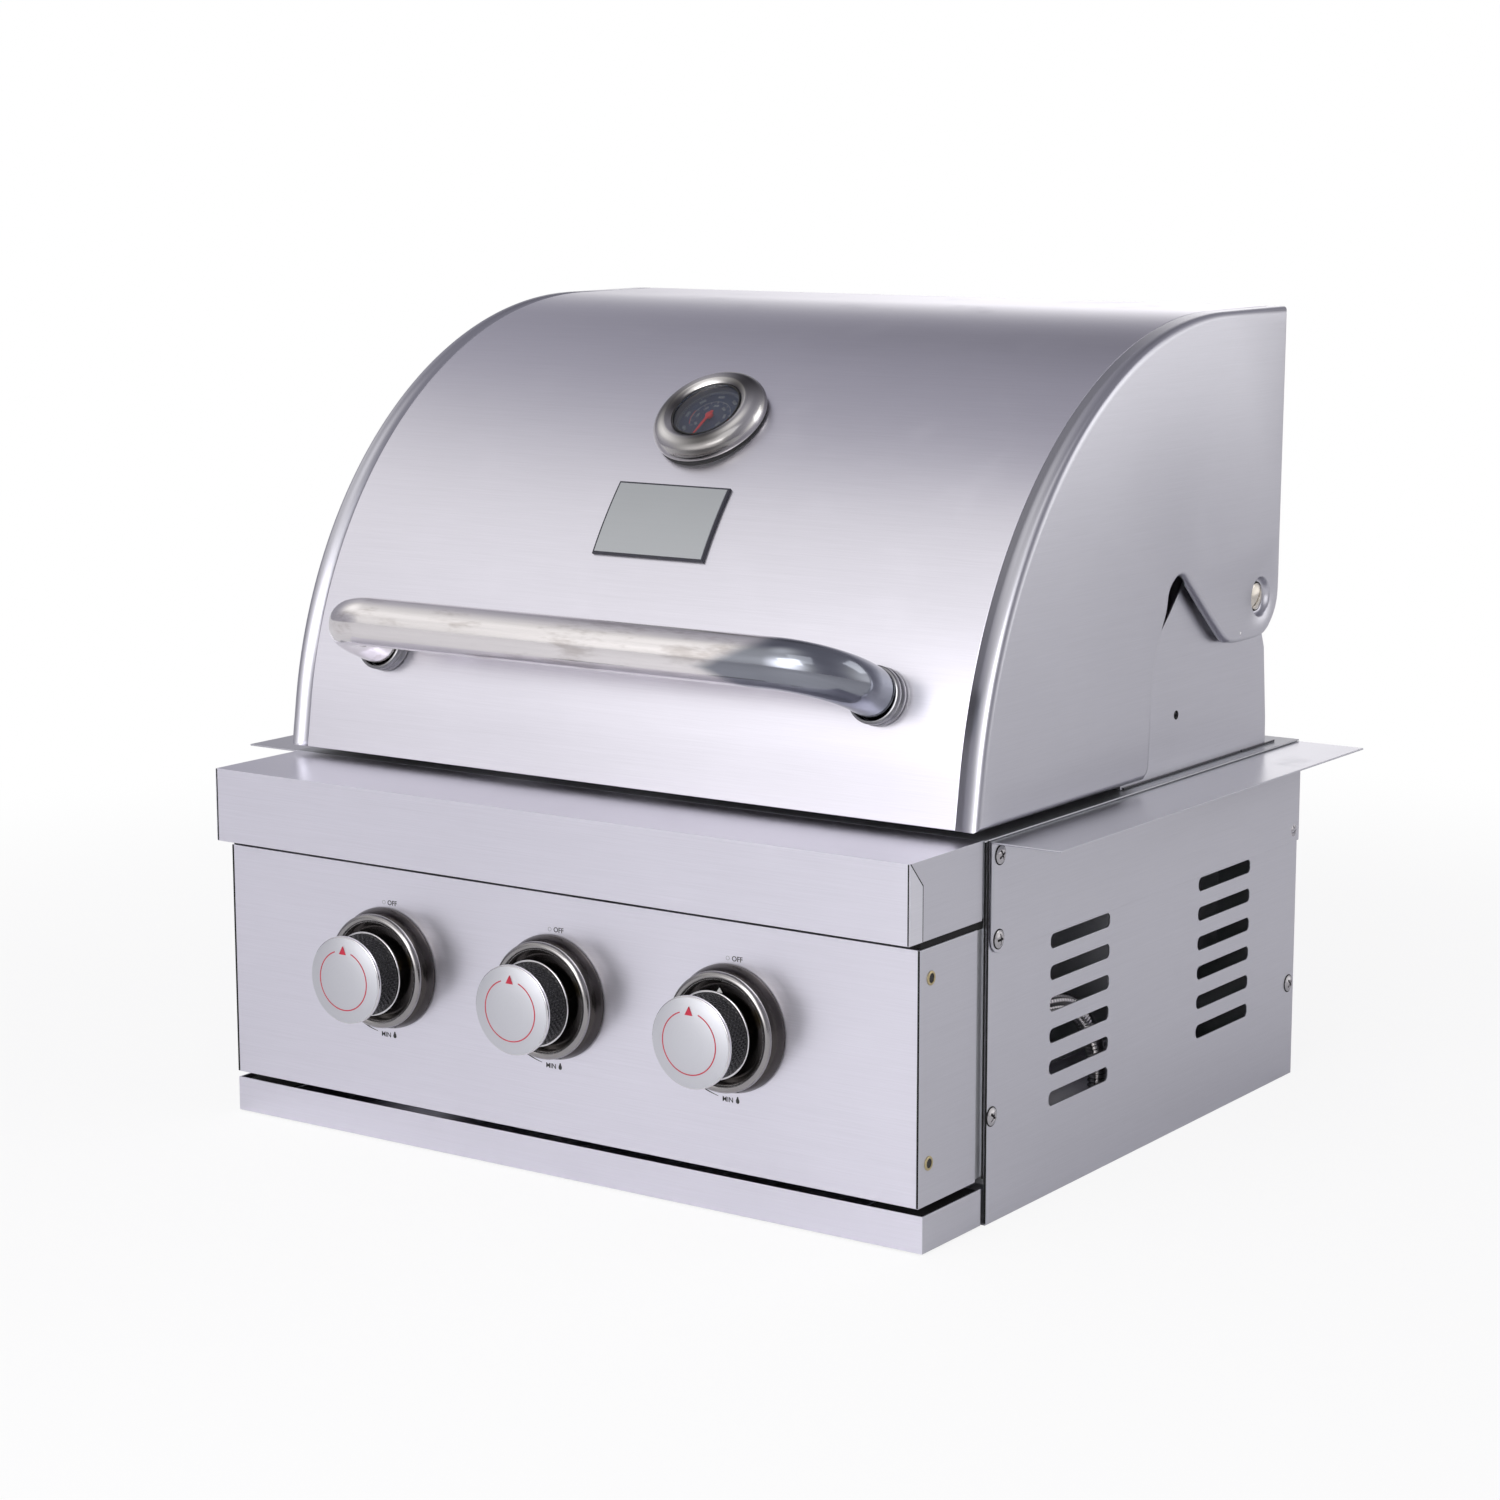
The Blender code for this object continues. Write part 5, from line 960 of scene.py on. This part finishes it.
# %% Panel print
for number, x in KNOBS:
    where = axes((x, PANEL_Y - 0.00001, KNOB_Z), right, (0, -1, 0))
    wedge = np.linspace(math.radians(258), math.radians(170), 60)
    part = ((wedge[0] - wedge) / (wedge[0] - wedge[-1]))[:, None]
    way = np.c_[np.cos(wedge), np.sin(wedge)]
    crescent = np.vstack((way * (0.0463 + 0.0045 * part), (way * (0.0460 + 0.0005 * part))[::-1]))
    flame_t = np.linspace(0, 2 * np.pi, 24, endpoint=False)
    flame = np.c_[0.0053 + 0.0013 * np.sin(flame_t) * (1 + 0.3 * np.cos(flame_t)),
                  -0.0462 + 0.0019 * -np.cos(flame_t) + 0.0007 * (np.cos(flame_t) < -0.8)]
    parts = [words_of("OFF", 0.0047, (0.0052, 0.0447)), words_of("MIN", 0.0047, (-0.0022, -0.0466)),
             flat_of(crescent), flat_of(flame)]
    marks("print_" + number, parts, where, black_ink, "casing")
    ring = band_of(0.0011, 0.0014, 0, 2 * math.pi, 32)
    marks("print_ring_" + number, [(ring[0] + (-0.0020, 0.0447, 0.0), ring[1])], where, grey_ink, "casing")
print("panel printed at", len(KNOBS), "places")

# %% [markdown]
# ## Badge plate
# A plate is glued to the hood, pale in front and dark round its edge. It is left bare.
# Its points are asked from the hood's own line, so that it follows the arc and leaves no gap.

# %% Badge
def on_skin(x, s, off):
    """Points over the hood at each x, length s and height off."""
    place, angle = hood_line(s), hood_angle(s)
    return np.stack((x, place[..., 0] + off * np.cos(angle), place[..., 1] + off * np.sin(angle)), -1)


def skin_plate(name, wide, long, at, low_off, high_off, finish):
    """A thin plate on the hood: a rounded rectangle in x and s, from one height to the other."""
    turn = np.linspace(0, 2 * np.pi, 96, endpoint=False)
    unit = np.stack((np.cos(turn), np.sin(turn)), -1)
    square = unit / np.abs(unit).max(1, keepdims=True)
    rows = [on_skin(at[0] + part * square[:, 0] * wide / 2, at[1] + part * square[:, 1] * long / 2, off)
            for part, off in ((0.0, low_off), (0.5, low_off), (1.0, low_off), (1.0, high_off - 0.0003),
                              (0.994, high_off), (0.7, high_off), (0.4, high_off), (0.0, high_off))]
    return sheet_of(name, np.stack(rows), finish, "hood", angle=30.0)


BADGE_AT = (-0.001, 0.181)
skin_plate("badge_back", 0.0905, 0.0555, BADGE_AT, 0.0001, 0.0021, plain["edge_black"])
skin_plate("badge_front", 0.0875, 0.0525, BADGE_AT, 0.0021, 0.0026, badge_face)
print("badge placed")

# %% [markdown]
# ## Screw heads
# The panels are held by cross-head screws, and each hood pivot is a screw with one slot.
# A boolean cut would leave long thin faces, so the head is a height over a disc:
# a dome less the cross or the slot. Inside the recess lies a dark plate, where no light reaches.


# %% Screws
def screw_head(name, at, out, up, radius, tall, finish, body, slots=2, turn=0.0, width=0.0011, reach=0.62,
               **more):
    """A domed head, its recess cut where the smaller of two distances is under half its width."""
    rows, count = 40, 144
    r = np.linspace(0, radius, rows)[:, None]
    t = np.linspace(0, 2 * np.pi, count, endpoint=False)[None, :]
    u, v = np.abs(r * np.cos(t - turn)), np.abs(r * np.sin(t - turn))
    dome = tall * (1 - 0.75 * (r / radius) ** 2.6) + 0 * t
    if slots == 2:
        across, length = np.minimum(u, v), np.maximum(u, v)
    else:
        across, length = v, 0 * u
    cut = np.clip((width / 2 - across) / 0.00022 + 0.5, 0, 1)
    cut = cut * np.clip((reach * radius - length) / 0.0003 + 0.5, 0, 1)
    height = dome - cut * tall * 0.62 * (1 - 0.4 * r / radius)
    disc = np.stack((r * np.cos(t), r * np.sin(t), height), -1)
    skirt = np.stack((radius * np.cos(t), radius * np.sin(t), 0 * t), -1)
    grid = np.concatenate((disc, skirt, 0 * skirt))
    where = axes(at, np.cross(up, out), out)
    points = moved(grid.reshape(-1, 3), where).reshape(grid.shape)
    half, arm = width * 0.42, reach * radius * (0.94 if slots == 2 else 1.2)
    bar = np.array(((arm, half), (-arm, half), (-arm, -half), (arm, -half)))
    if slots == 2:
        quarter = np.array(((half, half), (half, arm), (-half, arm)))
        bar = np.vstack([quarter @ spun(a) for a in np.radians((0, 90, 180, 270))])
    marks(name + "_recess", [flat_of(bar @ spun(turn), (tall * 0.30, tall * 0.56))], where, shade_black, body)
    # A black ring round the head is painted shadow, the dark edge it casts on the sheet.
    marks(name + "_painted_shadow_ring", [band_of(radius * 0.9, radius * 1.12, 0, 2 * math.pi, 64, (0.0, 0.0002))],
          where, shade_black, body)
    return sheet_of(name, points, finish, body, angle=50.0, join=2e-6, **more)


print("screw head ready")

# %% [markdown]
# ## Screws and rivet nuts
# Five screws hold each side panel, the upper two through the flange's leg, which lies outside it.
# Each is turned by its own angle, because nobody lines screws up.
# Behind them the panel's side return has two brass rivet nuts, and the black disc in each thread hole is
# painted shade.

# %% Screws
SIDE_X = 0.2819
LEG_X = 0.2834
RETURN_X = 0.2794
SIDE_SCREWS = ((LEG_X, -0.2051, 0.2354, 0.5), (LEG_X, -0.2061, 0.1823, 0.1), (SIDE_X, -0.2100, 0.0693, 0.9),
               (SIDE_X, 0.2080, 0.1813, 0.3), (SIDE_X, 0.2080, 0.0686, 0.7))
RIVET_NUT = ((0.0030, 0.0008), (0.0040, 0.0008), (0.0046, 0.0004), (0.0046, 0.0), (0.0030, 0.0))
RIVET_HOLE = ((0.0, 0.0003), (0.0031, 0.0003), (0.0031, 0.0), (0.0, 0.0))
for side, sign in (("left", -1), ("right", 1)):
    for k, (x, y, z, turn) in enumerate(SIDE_SCREWS):
        screw_head("side_screw_%s_%d" % (side, k), (sign * x, y, z), (sign, 0, 0), (0, 0, 1), 0.0058, 0.0022,
                   screw_steel, "casing", 2, turn, 0.0015)
    screw_head("pivot_head_" + side, (sign * 0.2770, PIVOT[0], PIVOT[1]), (sign, 0, 0), (0, 0, 1), 0.0092,
               0.0030, nickel, "hood", 1, math.radians(56), 0.0017, stands_for=("pivot_screw_" + side,))
    for k, (y, z) in enumerate(((-0.2789, 0.1719), (-0.2802, 0.0563))):
        where = axes((sign * RETURN_X, y, z), (0, 1, 0), (sign, 0, 0))
        turned("rivet_nut_%s_%d" % (side, k), RIVET_NUT, where, brass, "casing", 40, ease=0.0002)
        # The black disc in the hole is painted shade.
        turned("rivet_hole_%s_%d" % (side, k), RIVET_HOLE, where, gasket, "casing", 32, ease=0, closed=False)
print("screws set")

# %% [markdown]
# ## Folds and seams
# At each end of the header, a tab is folded round from the front and stands a sheet's thickness proud.
# Between two sheets there is a gap that no light leaves, so a thin black line is drawn there:
# a real gap of half a millimetre would ask for edges finer than the solids have.


# %% Folds
def side_plane(x, sign):
    """A frame whose plane is x, seen from outside that side."""
    return axes((sign * x, 0, 0), (0, sign, 0), (sign, 0, 0))


def four(low_x, low_y, high_x, high_y):
    """The corners of a rectangle."""
    return np.array(((low_x, low_y), (high_x, low_y), (high_x, high_y), (low_x, high_y)))


SHADE = (0.0, 0.00006)
FRONT_SHADE = (0.0, 0.00005)
SEAMS = ((0.2786, 0.0010, 0.1963, 0.2462, -0.30487), (0.2777, 0.0015, 0.0301, 0.1909, -0.29147),
         (0.2788, 0.0014, 0.0301, 0.2460, -0.21652), (0.2810, 0.0014, 0.0012, 0.2459, -0.21660))
tab = np.array(((-0.3047, 0.1963), (-0.29055, 0.1963), (-0.29055, 0.2306), (-0.3046, 0.2461)))
knee = np.array(((-0.3046, 0.2461), (-0.29055, 0.2306), (-0.29055, 0.1963), (-0.2894, 0.1963),
                 (-0.2894, 0.2310), (-0.3034, 0.2463)))


def folds(side, sign):
    """The header's tab with a black line of painted shade along its fold, and the seams seen from the front."""
    on_end = side_plane(0.28002, sign)
    marks("header_tab_" + side, [flat_of(tab * (sign, 1), (0.0, 0.0003))], on_end, fold_steel, "casing")
    marks("header_fold_" + side, [flat_of(knee * (sign, 1), SHADE)], on_end, shade_black, "casing")
    for x, wide, low, high, y in SEAMS:
        seam = flat_of(four(x, low, x + wide, high) * (sign, 1), FRONT_SHADE)
        marks("seam_%s_%d" % (side, int(high * 1e4)), [seam], axes((0, y, 0), right, (0, -1, 0)),
              shade_black, "casing")


print(len(SEAMS), "seams a side")

# %% [markdown]
# ## Gaps and dark strips
# Behind the gap over the panel the real casing is in deep shade, so black plates stand there,
# one along the front and one at each side. A dark strip lies along the foot of each gable,
# and a small bright rivet shows in the flange's leg and in the hood's lug.

# %% Gaps
def gaps(side, sign):
    """The dark plates behind the gaps, the dark strips at the gables' feet and the two small rivets."""
    marks("gap_dark_" + side, [flat_of(four(-0.2900, 0.1905, -0.2172, 0.1968) * (sign, 1))],
          side_plane(0.2785, sign), shade_black, "casing")
    marks("gable_foot_strip_" + side, [flat_of(four(start, 0.2466, end, 0.2479) * (sign, 1), (0.0, 0.0008))
                                 for start, end in ((-0.0265, 0.1425), (0.1450, 0.1967))],
          side_plane(0.2711, sign), plain["edge_black"], "casing")
    turned("leg_rivet_" + side, ((0.0, 0.0005), (0.0008, 0.0004), (0.0013, 0.0001), (0.0013, 0.0), (0.0, 0.0)),
           axes((sign * 0.28341, 0.1202, 0.2352), (0, 1, 0), (sign, 0, 0)), plating, "casing", 32,
           ease=0, closed=False)
    turned("lug_mark_" + side, ((0.0, 0.0003), (0.0008, 0.00025), (0.0012, 0.0), (0.0, 0.0)),
           axes((sign * 0.28121, 0.1203, 0.3340), (0, 1, 0), (sign, 0, 0)), plating, "hood", 32,
           ease=0, closed=False)


print("gap plates ready")

# %% [markdown]
# ## Slot ends
# The slots in the side panel are punched with round ends, and the solid's ends are squarer.
# Its mesh may not be changed. Its mesh is kept as it is, so a small corner piece fills each corner, in the
# sheet's own finish, and a black ring of painted shade widens the small hole in the gable in the same way.
# A black plate under each end of the panel is painted shade, a lip that darkens the gap over the
# tray's strip. It rides on the casing, so it stays behind when the tray comes out, which is a fault that is
# left.

# %% Slot ends
HOLE = CORNER + np.array((0.6704 * DEPTH, 0.1134 * HEIGHT))
SLOT_STEP, SLOT_ROUND = 0.0208, 0.0042
quarter = np.radians(np.linspace(0, 90, 10))
corner = np.vstack(([0.0390, 0.0049], np.c_[0.0348 + SLOT_ROUND * np.cos(quarter),
                                            0.0007 + SLOT_ROUND * np.sin(quarter)]))


def slot_ends(side, sign):
    """A corner piece in each of the four corners of the twelve slots, and the black lip and the ring in the
    gable's hole, both painted shade.
    """
    corners = [flat_of((corner * flip + (y, 0.0630 + SLOT_STEP * k)) * (sign, 1), (-0.0010, 0.00003))
               for y in (-0.0994, 0.1036) for k in range(6) for flip in ((1, 1), (-1, 1), (-1, -1), (1, -1))]
    marks("slot_corners_" + side, corners, side_plane(SIDE_X, sign), side_steel_painted_shade, "casing")
    marks("low_lip_shade_" + side, [flat_of(four(0.2375, -0.2868, 0.2790, -0.2175) * (sign, 1), (0.0215, 0.0225))],
          np.eye(4), shade_black, "casing")
    # The ring round the gable's hole is painted shade, a wider dark hole.
    turned("gable_hole_shade_" + side, ((0.0020, 0.0001), (0.0031, 0.0001), (0.0031, 0.0), (0.0020, 0.0)),
           axes((sign * 0.2710, HOLE[0], HOLE[1]), (0, 1, 0), (sign, 0, 0)), shade_black, "casing", 32, ease=0)


for side, sign in (("left", -1), ("right", 1)):
    folds(side, sign)
    gaps(side, sign)
    slot_ends(side, sign)
marks("gap_dark_front", [flat_of(four(-0.2785, 0.1870, 0.2785, 0.1970))],
      axes((0, -0.2890, 0), right, (0, -1, 0)), shade_black, "casing")
print("folds, seams and slot ends placed")

# %% [markdown]
# ## Gas hose
# Inside, a ribbed metal hose brings the gas to the manifold; it shows through the slots of the side.
# It is a rod whose radius is a wave, one rib every few millimetres, along a smooth route
# that starts and ends where the solid does. Rings set one by one would leave gaps in its bends.

# %% Hose
hose_low, hose_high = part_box("gas_hose")
hose_x = (hose_low.x + hose_high.x) / 2
y0, y1, z0, z1 = hose_low.y, -0.03985, 0.1130, hose_low.z
route = np.array(((0.00, 1.00), (0.06, 1.00), (0.12, 1.00), (0.28, 1.04), (0.48, 1.08), (0.68, 1.03),
                  (0.83, 0.88), (0.93, 0.67), (0.985, 0.45), (1.00, 0.28), (1.00, 0.14), (1.00, 0.00)))
line = through(np.c_[y0 + route[:, 0] * (y1 - y0), z1 + route[:, 1] * (z0 - z1)], 40)
run = np.cumsum(np.r_[0.0, np.linalg.norm(np.diff(line, axis=0), axis=1)])
even = np.linspace(0, run[-1], 640)
line = np.c_[np.interp(even, run, line[:, 0]), np.interp(even, run, line[:, 1])]
RIBS = 64
radius = 0.0062 + 0.0006 * np.cos(even / run[-1] * 2 * np.pi * RIBS)
swept("hose_tube", np.c_[np.full(640, hose_x), line], radius, polished, "casing", 24, side=(1, 0, 0),
      stands_for=("gas_hose",))
print("hose", round(float(run[-1]), 3), "m long with", RIBS, "ribs")

# %% [markdown]
# ## Softened sheet metal
# What nothing stands for yet is folded sheet, burners and valves, and its form is right as it is.
# Each gets a copy with rounded edges, which catch a thin line of light.
# The grates and the rack are round wire already, so they are only smoothed.

# %% Softened pieces
replaced = {name for thing in scene.objects for name in thing.get("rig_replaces", [])}
round_ones = {"cooking_grate_left", "cooking_grate_right", "warming_rack"}
for name in sorted(nodes):
    if name not in replaced:
        softened(name, body_of(name), angle=66.0 if name in round_ones else 32.0,
                 edge=0.0 if name in round_ones else 0.00035)
print("edges softened on", len(nodes) - len(replaced), "pieces")

# %% [markdown]
# ## Floor
# The photograph is cut out on white. A white floor keeps a soft shadow under the grill,
# and it runs out to pure white by a glow of its own, because more light would bleach the grill too.
# Light Path tells the camera's rays from the others, so the metal still mirrors a real floor.

# %% Floor and backdrop
bpy.ops.mesh.primitive_plane_add(size=14.0, location=(0, 0, -0.0002))
floor = bpy.context.object
floor.name = "floor"
made, shader, here = finish("white_floor", Roughness=0.9)
feed(shader, "Base Color", here.noise(40.0).blend((0.86, 0.86, 0.87), (0.90, 0.90, 0.90)))
x, y, _ = here.parts()
seen = here.make("ShaderNodeLightPath", out="Is Camera Ray") * (x * x + y * y).ramp(0.35, 2.0, 0.86, 1.0)
glow = here.make("ShaderNodeEmission", feeds={"Strength": 1.0})
mixed = here.make("ShaderNodeMixShader", feeds={0: seen, 1: Wire(here.tree, shader.outputs[0]), 2: glow})
here.tree.links.new(mixed.socket, here.tree.nodes["Material Output"].inputs[0])
floor.data.materials.append(made)
print("floor laid")

# %% [markdown]
# ## Sky
# Brushed steel shows what is round it more than its own colour, so the sky makes most of its look.
# A photographer hangs white cloths and black cards; here each is a soft patch on an even sky,
# amount exp(tightness (cos angle - 1)), where the angle is measured from the patch's middle.
# Where the sky is dim it is a little bluer, as the shaded parts of a white room are.

# %% Sky
GLOWS = ((13.0, 271.0, 14.0, 3.9), (16.0, 248.0, 30.0, 0.30), (13.0, 262.0, 5.0, 0.63),
         (7.0, 30.0, 8.0, 1.0), (2.0, 60.0, 20.0, 0.8), (65.0, 240.0, 20.0, 0.94),
         (60.0, 194.0, 22.0, -0.28), (38.0, 184.0, 20.0, 0.75), (5.0, 114.0, 40.0, 1.45),
         (6.0, 121.0, 80.0, 0.6), (36.0, 218.0, 30.0, 0.33), (38.0, 122.0, 40.0, -0.17),
         (30.0, 145.0, 40.0, 0.12))
EVEN_SKY, DARKEST = 0.30, 0.03

world = bpy.data.worlds.new("studio")
world.use_nodes = True
scene.world = world
world.node_tree.nodes.clear()
toward = Wire(world.node_tree).make("ShaderNodeTexCoord", out="Generated")
level = toward.parts()[0] * 0.0 + EVEN_SKY
for height, way, tight, amount in GLOWS:
    height, way = math.radians(height), math.radians(way)
    centre = (math.cos(height) * math.cos(way), math.cos(height) * math.sin(way), math.sin(height))
    near = toward.make("ShaderNodeVectorMath", out="Value", feeds={0: toward, 1: centre},
                       operation="DOT_PRODUCT")
    level = level + ((near - 1.0) * tight).maths("EXPONENT") * amount
level = level.most(DARKEST)
tone = level.ramp(0.2, 0.8).blend((0.96, 0.94, 1.10), (0.98, 0.965, 0.98))
sky = toward.make("ShaderNodeBackground", feeds={"Color": tone, "Strength": level})
white = toward.make("ShaderNodeBackground", feeds={"Color": (1, 1, 1, 1)})
by_camera = toward.make("ShaderNodeLightPath", out="Is Camera Ray")
mixed = toward.make("ShaderNodeMixShader", feeds={0: by_camera, 1: sky, 2: white})
toward.make("ShaderNodeOutputWorld", out=None, feeds={0: mixed})
print(len(GLOWS), "patches in the sky")

# %% [markdown]
# ## Lamps
# Three large soft lamps fill in: one before the hood, one over the floor in front and one over
# the floor at the side. A large lamp close by gives the soft, short shadow that the photograph has.

# %% Lamps
def softbox(name, place, aim, wide, high, power):
    """A large soft lamp at place that points at aim."""
    lamp = bpy.data.lights.new(name, "AREA")
    lamp.shape = "RECTANGLE"
    lamp.size = wide
    lamp.size_y = high
    lamp.energy = power
    hung = bpy.data.objects.new(name, lamp)
    scene.collection.objects.link(hung)
    hung.location = place
    hung.rotation_euler = (Vector(aim) - Vector(place)).to_track_quat("-Z", "Y").to_euler()
    return hung


softbox("lamp_front", (0.8, -1.7, 1.9), (0, -0.3, 0.2), 1.2, 1.2, 3.0)
softbox("lamp_floor", (0.30, -1.15, 0.8), (0.18, -0.95, 0.0), 0.5, 0.5, 1.9)
softbox("lamp_side", (1.1, 0.5, 1.1), (0.42, -0.05, 0.0), 0.7, 0.7, 1.6)
print("lamps hung")

# %% [markdown]
# ## Camera
# The photograph's own camera was worked out from the grill's straight edges and circles:
# its place, the way it points, a slight roll and the length of its lens on a 36 mm wide sensor.

# %% Camera
azimuth, elevation, roll = math.radians(34.718), math.radians(10.146), math.radians(-0.086)
ahead = Vector((-math.sin(azimuth) * math.cos(elevation), math.cos(azimuth) * math.cos(elevation),
                -math.sin(elevation)))
camera = bpy.data.objects.new("camera", bpy.data.cameras.new("camera"))
scene.collection.objects.link(camera)
camera.data.lens = 82.216
camera.data.sensor_width = 36.0
turn = ahead.to_track_quat("-Z", "Y").to_matrix() @ Matrix.Rotation(roll, 3, "Z")
camera.matrix_world = Matrix.Translation((1.33346, -1.99138, 0.67099)) @ turn.to_4x4()
scene.camera = camera
scene.view_settings.view_transform = "Standard"
print("studio ready")

# %% [markdown]
# ## Size
# The whole object keeps its size after dressing, but for the front, where the drawn knobs reach 1.4 mm less
# than the solids.

# %% Size
import json
